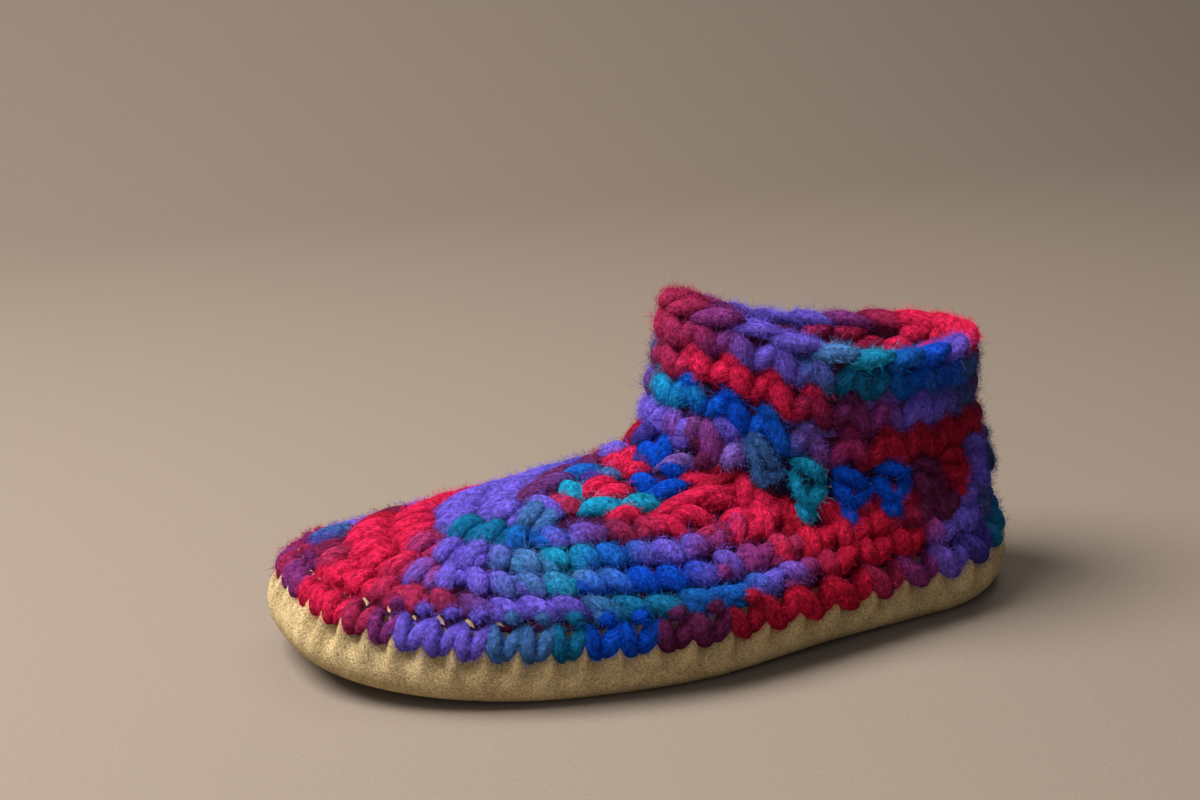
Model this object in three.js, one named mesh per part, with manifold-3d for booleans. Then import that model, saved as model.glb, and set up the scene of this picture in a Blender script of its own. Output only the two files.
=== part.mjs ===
// Crocheted ankle slipper with a turned-up suede sole, for the left foot.
// Millimetres, +X from heel to toe, +Y to the wearer's left, +Z up, standing on z = 0.
import * as THREE from 'three';
import { mergeVertices } from 'three/addons/utils/BufferGeometryUtils.js';
import Module from 'manifold-3d';

const wasm = await Module();
wasm.setup();

// Outline of the sole, seen from above
const LENGTH = 251;
const BALL_HALF_WIDTH = 54.6;
const BALL_X = 31;
const HEEL_HALF_WIDTH = 39.1;
const HEEL_X = -81;
const TOE_ROUNDNESS = 2.8;
const HEEL_ROUNDNESS = 1.9;
const INWARD_BEND = 13.7;

// Suede: a flat bottom with toe spring and a wall that is turned up all round
const SUEDE = 2.6;
const EDGE_HEIGHT = 22.5;
const TOE_EDGE_RISE = 11;
const HEEL_EDGE_RISE = 5;
const EDGE_RISE_POWER = 4;
const EDGE_INSET = 1;
const TOE_LEAN = 7;
const HEEL_LEAN = 6;
const WALL_LEAN_START = 0.5;
const TOE_SPRING = 7;
const TOE_SPRING_START_X = 50;
const ARCH_RISE = 1.2;
const ARCH_X = -28;
const ARCH_HALF_LENGTH = 42;
const STITCHES = 48;
const SCALLOP_DEPTH = 2.6;

// Crochet: thick wool, so the wall is thick too
const WALL = 6.5;
const ROW_RELIEF = 2.2;
const STITCH_DIP = 0.45;
const OVERHANG = 3;
const CUFF_ROWS = 3;
const POSTS = 22;
const POST_GAP_WIDTH = 5;
const POST_GAP_HEIGHT = 9;
const POST_RECESS = 0.8;
const COLLAR_BEND_SHARE = 0.6;
const ANKLE_GATHER = 1.6;

// Yarn loops of the binding round and links of the collar's chain
const LOOP_HEIGHT = 9;
const LOOP_SHOULDER = 5;
const LOOP_THICKNESS = 4;
const CHAIN_LINKS = 22;
const CHAIN_WIDTH = 7.5;
const CHAIN_HEIGHT = 6.4;
const CHAIN_WAIST = 0.72;

const INSOLE = 4;
const GAP = 0.3;
const COLUMNS = 2 * STITCHES;
const CHAIN_COLUMNS = 3 * CHAIN_LINKS;
const INSOLE_COLUMNS = 48;

// Form of the foot between the suede edge and the ankle line. At is the place round the foot,
// 0 at the back of the heel and 0.5 at the tip of the toe. Rows are crossed on the way up,
// lean and swell shape the wall's path, and turnUp is the part of the rise kept for its end.
const FOOT_FORM = [
  { at: 0.0, rows: 2.2, lean: 1.2, swell: 0.95, turnUp: 0 },
  { at: 0.24, rows: 2.4, lean: 1.25, swell: 0.9, turnUp: 0 },
  { at: 0.3, rows: 3.2, lean: 1.35, swell: 0.86, turnUp: 0.03 },
  { at: 0.36, rows: 4.4, lean: 1.35, swell: 0.94, turnUp: 0.12 },
  { at: 0.42, rows: 6, lean: 1.25, swell: 1.1, turnUp: 0.22 },
  { at: 0.46, rows: 7.3, lean: 1.2, swell: 1.15, turnUp: 0.26 },
  { at: 0.5, rows: 8.4, lean: 1.2, swell: 1.15, turnUp: 0.26 },
];
const TURN_UP_POWER = 10;

// Rounds of the ankle and cuff, from the ankle line to the rim. Low is a round's height at the
// back of the heel and high its height in front.
// Climb is how late a round rises on its way to the front, and settle how soon it levels out.
const CUFF_ROUNDS = [
  { at: 0.0, back: -121, front: 9, halfWidth: 40, low: 38.5, high: 65, climb: 8, settle: 1 },
  { at: 0.31, back: -116.5, front: 7, halfWidth: 37, low: 53, high: 73.5, climb: 8, settle: 2.5 },
  { at: 0.55, back: -113, front: 6, halfWidth: 35.5, low: 64, high: 83, climb: 6, settle: 3.4 },
  { at: 1.0, back: -114, front: 4, halfWidth: 35, low: 82.5, high: 101.5, climb: 4, settle: 2 },
];
const POSTS_TOP = CUFF_ROUNDS[1].at;

// Section of the suede tray, from the middle of its underside over the edge to its floor.
// Inset is measured inward from the wall's own outer face; share is the part of its height.
const SOLE_SECTION = [
  { inset: 7.5, height: 0, share: 0 },
  { inset: 2.2, height: 2.6, share: 0 },
  { inset: 0, height: 7.5, share: 0 },
  { inset: 0, height: 0, share: WALL_LEAN_START },
  { inset: 0, height: 0, share: 1 },
  { inset: SUEDE, height: 0, share: 1 },
  { inset: SUEDE, height: 0, share: WALL_LEAN_START },
  { inset: SUEDE, height: 8, share: 0 },
  { inset: SUEDE + 2.5, height: 4, share: 0 },
  { inset: SUEDE + 8, height: SUEDE, share: 0 },
];

// Value of a named column between the rows of a table
function between(table, at, column) {
  const next = Math.max(1, table.findIndex((row) => row.at >= at));
  const low = table[next - 1];
  const high = table[next];
  return THREE.MathUtils.mapLinear(at, low.at, high.at, low[column], high[column]);
}

function halfWidth(x) {
  const body = THREE.MathUtils.smoothstep(x, HEEL_X, BALL_X);
  const width = THREE.MathUtils.lerp(HEEL_HALF_WIDTH, BALL_HALF_WIDTH, body);
  const toe = THREE.MathUtils.clamp((x - BALL_X) / (LENGTH / 2 - BALL_X), 0, 1);
  const heel = THREE.MathUtils.clamp((HEEL_X - x) / (LENGTH / 2 + HEEL_X), 0, 1);
  const toeEnd = (1 - toe ** TOE_ROUNDNESS) ** (1 / TOE_ROUNDNESS);
  const heelEnd = (1 - heel ** HEEL_ROUNDNESS) ** (1 / HEEL_ROUNDNESS);
  return width * toeEnd * heelEnd;
}

function centreLine(x) {
  return INWARD_BEND * Math.cos(Math.PI * x / LENGTH);
}

// The outline as a closed curve that starts at the back of the heel and runs along the left side
function makeOutline() {
  const points = [];
  const samples = 120;
  for (let i = 0; i < samples; i += 1) {
    const turn = 2 * Math.PI * i / samples;
    const x = -LENGTH / 2 * Math.cos(turn);
    const side = turn <= Math.PI ? 1 : -1;
    points.push(new THREE.Vector3(x, centreLine(x) + side * halfWidth(x), 0));
  }
  const curve = new THREE.CatmullRomCurve3(points, true);
  curve.arcLengthDivisions = 1200;
  return curve;
}

const outline = makeOutline();

// A point on the outline, moved inward by an inset
function outlinePoint(a, inset) {
  const point = outline.getPointAt(a);
  const along = outline.getTangentAt(a);
  const inward = new THREE.Vector3(along.y, -along.x, 0);
  return point.addScaledVector(inward, inset);
}

// Grows from nothing along the sides to a full size at the ends of the foot
function atEnds(x, toeSize, heelSize) {
  return (x > 0 ? toeSize : heelSize) * Math.abs(2 * x / LENGTH) ** EDGE_RISE_POWER;
}

function edgeHeight(x) {
  return EDGE_HEIGHT + atEnds(x, TOE_EDGE_RISE, HEEL_EDGE_RISE);
}

// A point of the suede's wall at a share of its height: the upper half leans in, most at the toe
function wallPoint(a, share, inset) {
  const lean = EDGE_INSET + atEnds(outlinePoint(a, 0).x, TOE_LEAN, HEEL_LEAN);
  const leanShare = Math.max(0, (share - WALL_LEAN_START) / (1 - WALL_LEAN_START));
  const point = outlinePoint(a, inset + lean * leanShare);
  point.z = edgeHeight(point.x) * share;
  return point;
}

// How far the underside stands off the floor: toe spring and a shallow arch
function lift(x) {
  const spring = Math.max(0, (x - TOE_SPRING_START_X) / (LENGTH / 2 - TOE_SPRING_START_X));
  const arch = Math.max(0, 1 - ((x - ARCH_X) / ARCH_HALF_LENGTH) ** 2);
  return TOE_SPRING * spring ** 2 + ARCH_RISE * arch ** 2;
}

// A point on a cuff round: an oval that is higher in front than at the back
function cuffPoint(a, level) {
  const size = (column) => between(CUFF_ROUNDS, level, column);
  const side = a <= 0.5 ? 1 : -1;
  const fold = Math.min(a, 1 - a);
  const turn = Math.PI * (1 - (1 - 2 * fold) ** ANKLE_GATHER);
  const share = (1 - Math.cos(turn)) / 2;
  const x = THREE.MathUtils.lerp(size('back'), size('front'), share);
  const y = COLLAR_BEND_SHARE * centreLine(x) + side * size('halfWidth') * Math.sin(turn);
  const rise = 1 - (1 - share ** size('climb')) ** size('settle');
  return new THREE.Vector3(x, y, THREE.MathUtils.lerp(size('low'), size('high'), rise));
}

// A point on the crochet's lowest edge, which stands on the edge of the suede
function hemPoint(a, inset) {
  const point = wallPoint(a, 1, inset);
  point.z += GAP;
  return point;
}

// A point on the foot between the suede edge (v = 0) and the ankle line (v = 1).
// The vamp rises over the toe, runs flatter and turns up again at the ankle, and it keeps
// the sole's bend.
function footPoint(a, v) {
  const low = hemPoint(a, -OVERHANG);
  const high = cuffPoint(a, 0);
  const form = (column) => between(FOOT_FORM, Math.min(a, 1 - a), column);
  const across = v ** form('lean');
  const up = THREE.MathUtils.lerp(v ** form('swell'), v ** TURN_UP_POWER, form('turnUp'));
  const x = THREE.MathUtils.lerp(low.x, high.x, across);
  const y = THREE.MathUtils.lerp(low.y - centreLine(low.x), high.y - centreLine(high.x), across);
  return new THREE.Vector3(x, centreLine(x) + y, THREE.MathUtils.lerp(low.z, high.z, up));
}

function rowsAt(a) {
  return between(FOOT_FORM, Math.min(a, 1 - a), 'rows');
}

// Outward direction of a surface given as a function of two numbers
function outward(surface, a, v) {
  const step = 0.004;
  const low = Math.max(0, v - step);
  const high = Math.min(1, v + step);
  const round = surface((a + step) % 1, v).sub(surface((a - step + 1) % 1, v));
  const rise = surface(a, high).sub(surface(a, low));
  return rise.cross(round).normalize();
}

// One ring of points round the slipper, from a function of the place round it
function ring(columns, place) {
  return Array.from({ length: columns }, (_, column) => place(column / columns, column));
}

// Every second column is the middle of a stitch and stands proud
function stitchRelief(column) {
  return ROW_RELIEF * (column % 2 === 0 ? 1 : STITCH_DIP);
}

function footRing(row) {
  return ring(COLUMNS, (a, column) => {
    const v = Math.min(1, row / rowsAt(a));
    const crest = row % 1 === 0 ? 0 : stitchRelief(column);
    const fade = Math.min(1, 4 * (1 - v));
    return footPoint(a, v).addScaledVector(outward(footPoint, a, v), crest * fade);
  });
}

function cuffRing(level, relief) {
  return ring(COLUMNS, (a, column) => {
    const proud = relief < 0 ? relief : relief * stitchRelief(column);
    return cuffPoint(a, level).addScaledVector(outward(cuffPoint, a, level), proud);
  });
}

function innerRing(surface, v) {
  return ring(COLUMNS, (a) => surface(a, v).addScaledVector(outward(surface, a, v), -WALL));
}

// Near the hem the inside of the wall is measured level, so that it stays on the suede's edge
function innerFootRing(v) {
  return ring(COLUMNS, (a) => {
    const out = outward(footPoint, a, v);
    out.setZ(out.z * Math.min(1, 2 * v)).normalize();
    return footPoint(a, v).addScaledVector(out, -WALL);
  });
}

// A point on the flat top of the cuff's wall
function rimPoint(a, inset) {
  const out = outward(cuffPoint, a, 1).setZ(0).normalize();
  return cuffPoint(a, 1).addScaledVector(out, -inset);
}

// Strips across an end ring, from its left side to its right side, so that the cap keeps
// the ring's rise and fall from heel to toe
function endCap(first, columns, turned) {
  const faces = [];
  for (let left = 0; left < columns / 2; left += 1) {
    const corners = [left, left + 1, columns - left - 1, columns - left].map((i) => first + i % columns);
    const [p, q, r, t] = turned ? corners.reverse() : corners;
    faces.push([p, q, r], [p, r, t]);
  }
  return faces;
}

// A solid whose rings follow one another; it closes on itself, or its two ends are capped
function loft(rings, closesOnItself) {
  const columns = rings[0].length;
  const points = rings.flat();
  const faces = [];
  const bands = closesOnItself ? rings.length : rings.length - 1;
  for (let band = 0; band < bands; band += 1) {
    const next = (band + 1) % rings.length;
    for (let column = 0; column < columns; column += 1) {
      const beside = (column + 1) % columns;
      const here = band * columns + column;
      const hereBeside = band * columns + beside;
      const there = next * columns + column;
      const thereBeside = next * columns + beside;
      faces.push([here, hereBeside, thereBeside], [here, thereBeside, there]);
    }
  }
  if (!closesOnItself) {
    faces.push(...endCap(0, columns, true), ...endCap((rings.length - 1) * columns, columns, false));
  }
  const geometry = new THREE.BufferGeometry().setFromPoints(points);
  geometry.setIndex(faces.flat());
  return weld(geometry);
}

// Joins equal corners, drops the faces that this leaves without area and turns the faces outward
function weld(geometry) {
  const welded = mergeVertices(geometry, 1e-3);
  const index = Array.from(welded.index.array);
  const place = welded.attributes.position;
  const corner = (i) => new THREE.Vector3().fromBufferAttribute(place, i);
  const kept = [];
  let volume = 0;
  for (let i = 0; i < index.length; i += 3) {
    const [p, q, r] = index.slice(i, i + 3);
    if (p !== q && q !== r && r !== p) {
      kept.push([p, q, r]);
      volume += corner(p).dot(corner(q).cross(corner(r)));
    }
  }
  welded.setIndex((volume < 0 ? kept.map(([p, q, r]) => [p, r, q]) : kept).flat());
  welded.computeVertexNormals();
  return welded;
}

function toSolid(geometry) {
  const bare = geometry.clone();
  bare.deleteAttribute('normal');
  bare.deleteAttribute('uv');
  const merged = mergeVertices(bare, 1e-4);
  return new wasm.Manifold(new wasm.Mesh({
    numProp: 3,
    vertProperties: new Float32Array(merged.attributes.position.array),
    triVerts: new Uint32Array(merged.index.array),
  }));
}

function toGeometry(solid) {
  const mesh = solid.getMesh();
  const geometry = new THREE.BufferGeometry();
  geometry.setAttribute('position', new THREE.BufferAttribute(mesh.vertProperties, 3));
  geometry.setIndex(new THREE.BufferAttribute(mesh.triVerts, 1));
  geometry.computeVertexNormals();
  return geometry;
}

function makeSole() {
  const rings = SOLE_SECTION.map((step) => ring(COLUMNS, (a, column) => {
    if (step.share > 0) {
      const onEdge = step.share === 1;
      const scallop = onEdge && column % 2 === 1 ? SCALLOP_DEPTH : 0;
      const point = wallPoint(a, step.share, step.inset);
      return point.setZ(point.z - scallop);
    }
    const point = outlinePoint(a, step.inset);
    return point.setZ(step.height + lift(point.x));
  }));
  return loft(rings, false);
}

function makeInsole() {
  const inset = SUEDE + 8;
  const layer = (thickness, extra) => ring(INSOLE_COLUMNS, (a) => {
    const point = outlinePoint(a, inset + extra);
    point.z = lift(point.x) + SUEDE + GAP + thickness;
    return point;
  });
  const edge = 1.5;
  return loft([layer(0, edge), layer(edge, 0), layer(INSOLE - edge, 0), layer(INSOLE, edge)], false);
}

// The wall between posts, cut through
function makePostGaps() {
  const radius = POST_GAP_WIDTH / 2;
  const depth = 4 * WALL;
  const gaps = [];
  const rim = new THREE.CatmullRomCurve3(ring(COLUMNS, (a) => cuffPoint(a, POSTS_TOP / 2)), true);
  for (let post = 0; post < POSTS; post += 1) {
    const share = (post + 0.5) / POSTS;
    const place = rim.getPointAt(share);
    const along = rim.getTangentAt(share);
    const out = new THREE.Vector3(-along.y, along.x, 0).normalize();
    const up = new THREE.Vector3().crossVectors(along, out).normalize();
    const gap = new THREE.CylinderGeometry(radius, radius, depth, 8);
    gap.scale(1, 1, POST_GAP_HEIGHT / POST_GAP_WIDTH);
    gap.applyMatrix4(new THREE.Matrix4().makeBasis(along, out, up).setPosition(place));
    gaps.push(toSolid(gap));
  }
  return gaps;
}

function makeUpper() {
  const outer = [];
  const mostRows = Math.max(...FOOT_FORM.map((place) => place.rows));
  for (let row = 0; row < mostRows; row += 0.5) {
    outer.push(footRing(row));
  }
  outer.push(cuffRing(0, 0), cuffRing(POSTS_TOP / 2, -POST_RECESS));
  for (let row = 0; row < CUFF_ROWS; row += 1) {
    const height = (1 - POSTS_TOP) / CUFF_ROWS;
    outer.push(cuffRing(POSTS_TOP + row * height, 0), cuffRing(POSTS_TOP + (row + 0.5) * height, 1));
  }
  outer.push(cuffRing(1, 0));
  const inner = [ring(COLUMNS, (a) => rimPoint(a, WALL))];
  inner.push(...[0.7, 0.4, 0.15].map((level) => innerRing(cuffPoint, level)));
  inner.push(...[0.97, 0.85, 0.65, 0.45, 0.25, 0.12].map((v) => innerFootRing(v)));
  inner.push(ring(COLUMNS, (a) => hemPoint(a, WALL - OVERHANG)));
  const wall = toSolid(loft([...outer, ...inner], true));
  return toGeometry(makePostGaps().reduce((solid, gap) => solid.subtract(gap), wall));
}

// Loops of yarn over the suede's edge: each is deepest and fattest at its middle. Fall is
// measured down from the edge, and reach is a share of the loop's thickness.
function makeBinding() {
  const section = [
    { fall: () => GAP, reach: 0 },
    { fall: (bottom) => bottom, reach: 0 },
    { fall: (bottom) => bottom - 1, reach: 0.75 },
    { fall: () => LOOP_SHOULDER, reach: 1 },
    { fall: () => 2, reach: 0.9 },
    { fall: () => GAP, reach: 0.6 },
  ];
  const rings = section.map((corner) => ring(COLUMNS, (a, column) => {
    const middle = column % 2 === 0;
    const bottom = middle ? LOOP_HEIGHT : LOOP_SHOULDER + 1.5;
    const thickness = LOOP_THICKNESS * (middle ? 1 : 0.8);
    const share = 1 - corner.fall(bottom) / edgeHeight(outlinePoint(a, 0).x);
    return wallPoint(a, share, -2 * GAP - corner.reach * thickness);
  }));
  return loft(rings, true);
}

// Braid-like links that lie along the rim, each pinched where the next one starts
function makeChain() {
  const rim = new THREE.CatmullRomCurve3(ring(COLUMNS, (a) => rimPoint(a, WALL / 2)), true);
  const section = [
    { across: -0.35, up: 0 },
    { across: 0.35, up: 0 },
    { across: 0.5, up: 0.5 },
    { across: 0.3, up: 0.95 },
    { across: -0.3, up: 0.95 },
    { across: -0.5, up: 0.5 },
  ];
  const rings = section.map((corner) => ring(CHAIN_COLUMNS, (share) => {
    const point = rim.getPointAt(share);
    const along = rim.getTangentAt(share);
    const out = new THREE.Vector3(-along.y, along.x, 0).normalize();
    const link = Math.abs(Math.sin(Math.PI * CHAIN_LINKS * share));
    const size = THREE.MathUtils.lerp(CHAIN_WAIST, 1, link);
    point.addScaledVector(out, corner.across * CHAIN_WIDTH * size);
    point.z += GAP + corner.up * CHAIN_HEIGHT * size;
    return point;
  }));
  return loft(rings, true);
}

function addPiece(group, name, geometry, color) {
  const material = new THREE.MeshStandardMaterial({ color, roughness: 0.95, metalness: 0 });
  const mesh = new THREE.Mesh(geometry, material);
  mesh.name = name;
  group.add(mesh);
}

const slipper = new THREE.Group();
addPiece(slipper, 'sole', makeSole(), '#b89f78');
addPiece(slipper, 'insole', makeInsole(), '#8f8676');
addPiece(slipper, 'upper', makeUpper(), '#5a3fa0');
addPiece(slipper, 'binding_round', makeBinding(), '#a3173c');
addPiece(slipper, 'collar_chain', makeChain(), '#2f62b8');

// The middle of the slipper's box stands on the origin
const box = new THREE.Box3().setFromObject(slipper);
slipper.position.set(-(box.min.x + box.max.x) / 2, -(box.min.y + box.max.y) / 2, -box.min.z);
slipper.updateMatrixWorld(true);

export default slipper;
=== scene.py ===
import math

import bmesh
import bpy
import numpy as np
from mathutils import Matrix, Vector


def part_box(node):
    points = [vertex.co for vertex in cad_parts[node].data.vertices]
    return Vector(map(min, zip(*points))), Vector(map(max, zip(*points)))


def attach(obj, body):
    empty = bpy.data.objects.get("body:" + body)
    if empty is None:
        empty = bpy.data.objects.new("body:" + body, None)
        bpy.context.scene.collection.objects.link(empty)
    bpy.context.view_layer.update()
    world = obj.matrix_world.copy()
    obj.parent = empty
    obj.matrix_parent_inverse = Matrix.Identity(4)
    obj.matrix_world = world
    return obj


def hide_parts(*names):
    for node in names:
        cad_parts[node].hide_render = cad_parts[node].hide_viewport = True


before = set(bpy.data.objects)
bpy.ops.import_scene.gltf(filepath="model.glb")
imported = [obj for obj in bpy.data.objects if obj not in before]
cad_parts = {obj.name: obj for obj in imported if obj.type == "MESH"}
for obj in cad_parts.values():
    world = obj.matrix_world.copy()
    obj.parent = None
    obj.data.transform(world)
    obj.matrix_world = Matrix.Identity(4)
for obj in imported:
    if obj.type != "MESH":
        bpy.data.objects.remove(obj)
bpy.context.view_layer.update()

# Suede sole: one piece of soft tan suede, cut wide and turned up all round the foot.
# Its punched edge is gathered by the yarn loops, so it puckers below each of them and
# shows a small point of suede in the notch of every loop. All sizes are in millimetres.
METRE, MILLIMETRE = 1000, 0.001
LENGTH = 251.0
BALL_HALF_WIDTH, BALL_X = 54.6, 31.0
HEEL_HALF_WIDTH, HEEL_X = 39.1, -81.0
TOE_ROUNDNESS, HEEL_ROUNDNESS = 2.8, 1.9
INWARD_BEND = 13.7
SUEDE = 2.6
EDGE_HEIGHT, TOE_EDGE_RISE, HEEL_EDGE_RISE = 22.5, 11.0, 5.0
EDGE_INSET, TOE_LEAN, HEEL_LEAN = 1.0, 7.0, 6.0
END_POWER = 4
TOE_SPRING, TOE_SPRING_START_X = 7.0, 50.0
ARCH_RISE, ARCH_X, ARCH_HALF_LENGTH = 1.2, -28.0, 42.0
LOOPS = 52
SUEDE_COLUMNS = 8 * LOOPS
PUCKER_DEPTH, PUCKER_DEPTH_SPREAD = 6.4, 0.25
PUCKER_REACH, PUCKER_REACH_SPREAD = 0.5, 0.2
PUCKER_START, PUCKER_SHARPNESS, PUCKER_MIDDLE = 0.04, 1.3, 0.6
BELLY, BELLY_TOP = 0.5, 0.7
EDGE_POINT, POINT_MIDDLE, POINT_START = 4.6, 0.55, 0.75
WALL_FOOT = 6.0
TRAY_MARGIN = 8.0
UNDER_EDGE = ((8.5, 0.0), (5.6, 0.5), (3.2, 1.7), (1.3, 3.6))
TRAY_EDGE = ((SUEDE, 8.0), (SUEDE + 2.5, 4.0), (SUEDE + TRAY_MARGIN, SUEDE))
WALL_RISES = (0, 0.12, 0.24, 0.36, 0.47, 0.58, 0.69, 0.8, 0.9, 1.0)
TRAY_WALL_RISES = (1.0, 0.75, 0.4)
SUEDE_DARK, SUEDE_LIGHT = (0.20, 0.135, 0.05), (0.75, 0.58, 0.32)
TRACE_SAMPLES, OUTLINE_SAMPLES, PITCH_SAMPLES = 2401, 1201, 601
MERGE_DISTANCE = 1e-6


def eased(share):
    share = np.clip(share, 0, 1)
    return share * share * (3 - 2 * share)


def half_width(x):
    body = eased((x - HEEL_X) / (BALL_X - HEEL_X))
    toe = np.clip((x - BALL_X) / (LENGTH / 2 - BALL_X), 0, 1)
    heel = np.clip((HEEL_X - x) / (LENGTH / 2 + HEEL_X), 0, 1)
    toe_end = (1 - toe ** TOE_ROUNDNESS) ** (1 / TOE_ROUNDNESS)
    heel_end = (1 - heel ** HEEL_ROUNDNESS) ** (1 / HEEL_ROUNDNESS)
    return (HEEL_HALF_WIDTH + (BALL_HALF_WIDTH - HEEL_HALF_WIDTH) * body) * toe_end * heel_end


def centre_line(x):
    return INWARD_BEND * np.cos(np.pi * x / LENGTH)


# The outline by its own length: 0 at the back of the heel, then the left side, 0.5 at the toe
turn = np.linspace(0, 2 * np.pi, TRACE_SAMPLES)
trace_x = -LENGTH / 2 * np.cos(turn)
trace_y = centre_line(trace_x) + np.where(turn <= np.pi, 1, -1) * half_width(trace_x)
trace = np.append(0, np.cumsum(np.hypot(np.diff(trace_x), np.diff(trace_y))))
round_share = np.linspace(0, 1, OUTLINE_SAMPLES)
round_x = np.interp(round_share * trace[-1], trace, trace_x)
round_y = np.interp(round_share * trace[-1], trace, trace_y)
along_x, along_y = np.gradient(round_x), np.gradient(round_y)
along_x[[0, -1]], along_y[[0, -1]] = 0, 1
along_size = np.hypot(along_x, along_y)


def outline_point(a, inset):
    a = np.mod(a, 1)
    x, y = np.interp(a, round_share, round_x), np.interp(a, round_share, round_y)
    run_x = np.interp(a, round_share, along_x / along_size)
    run_y = np.interp(a, round_share, along_y / along_size)
    return x + inset * run_y, y - inset * run_x


def at_ends(x, toe_size, heel_size):
    return np.where(x > 0, toe_size, heel_size) * np.abs(2 * x / LENGTH) ** END_POWER


def edge_height(x):
    return EDGE_HEIGHT + at_ends(x, TOE_EDGE_RISE, HEEL_EDGE_RISE)


def wall_point(a, share, inset):
    """A point of the suede's wall at a share of its height; the upper half leans in."""
    lean = EDGE_INSET + at_ends(outline_point(a, 0)[0], TOE_LEAN, HEEL_LEAN)
    x, y = outline_point(a, inset + lean * np.maximum(0, 2 * share - 1))
    return np.stack([x, y, edge_height(x) * share], -1)


def lift(x):
    spring = np.maximum(0, (x - TOE_SPRING_START_X) / (LENGTH / 2 - TOE_SPRING_START_X))
    arch = np.maximum(0, 1 - ((x - ARCH_X) / ARCH_HALF_LENGTH) ** 2)
    return TOE_SPRING * spring ** 2 + ARCH_RISE * arch ** 2


# Loops are set closer round the toe than at the heel: (place round the foot, pitch)
LOOP_PITCH = ((0.0, 14.8), (0.12, 14.8), (0.18, 16.0), (0.22, 14.4), (0.26, 13.2), (0.3, 11.8),
              (0.34, 10.2), (0.4, 9.2), (0.5, 8.8))
half_round = np.linspace(0, 0.5, PITCH_SAMPLES)
loop_rate = 1 / np.interp(half_round, *zip(*LOOP_PITCH))
loop_count = np.append(0, np.cumsum((loop_rate[1:] + loop_rate[:-1]) / 2))
loop_count *= LOOPS / 2 / loop_count[-1]


def folded(a):
    """Places round the foot with its right side laid on its left: 0 at the heel, 0.5 at the toe."""
    a = np.mod(a, 1)
    return np.minimum(a, 1 - a)


def loop_phase(a):
    """Loops passed on the way round from the back of the heel; a loop's middle is at a half."""
    passed = np.interp(folded(a), half_round, loop_count)
    return np.where(np.mod(a, 1) <= 0.5, passed, LOOPS - passed)


def loop_place(phase):
    phase = np.mod(phase, LOOPS)
    place = np.interp(np.minimum(phase, LOOPS - phase), loop_count, half_round)
    return np.where(phase <= LOOPS / 2, place, 1 - place)


# The frame's origin is under the middle of the slipper's box
sole_low, sole_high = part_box("sole")
SHIFT = np.array([sole_low.x * METRE + LENGTH / 2, sole_high.y * METRE - round_y.max(), 0.0])


def in_frame(points):
    return (np.asarray(points) + SHIFT) * MILLIMETRE


def lofted(name, *bands):
    """A mesh of closed bands. Each is a circle that is pulled out from ring to ring of points."""
    bm = bmesh.new()
    for rings in bands:
        loop = bmesh.ops.create_circle(bm, segments=len(rings[0]), radius=1.0)["verts"]
        edges = bm.edges[-len(loop):]
        for number, ring in enumerate(rings):
            if number > 0:
                pulled = bmesh.ops.extrude_edge_only(bm, edges=edges)["geom"]
                fresh = {part for part in pulled if isinstance(part, bmesh.types.BMVert)}
                edges = [part for part in pulled
                         if isinstance(part, bmesh.types.BMEdge) and set(part.verts) <= fresh]
                loop = [next(edge.other_vert(vert) for edge in vert.link_edges
                             if edge.other_vert(vert) in fresh) for vert in loop]
            for vert, place in zip(loop, in_frame(ring)):
                vert.co = place
    bmesh.ops.remove_doubles(bm, verts=bm.verts, dist=MERGE_DISTANCE)
    bmesh.ops.recalc_face_normals(bm, faces=bm.faces)
    mesh = bpy.data.meshes.new(name)
    bm.to_mesh(mesh)
    bm.free()
    return mesh


def closed_to_middle(ring, shares):
    """Rings that run from a ring to its own middle line, where its two sides meet."""
    mirrored = np.roll(ring[::-1], 1, axis=0)
    middle = (ring + mirrored) / 2
    return [ring + (middle - ring) * share for share in shares]


def piece(mesh, finish):
    """A finished piece of the slipper from a mesh: smooth, at the origin, riding on it."""
    mesh.shade_smooth()
    mesh.materials.append(finish.material)
    obj = bpy.data.objects.new(mesh.name, mesh)
    bpy.context.scene.collection.objects.link(obj)
    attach(obj, "root")
    return obj


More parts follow.
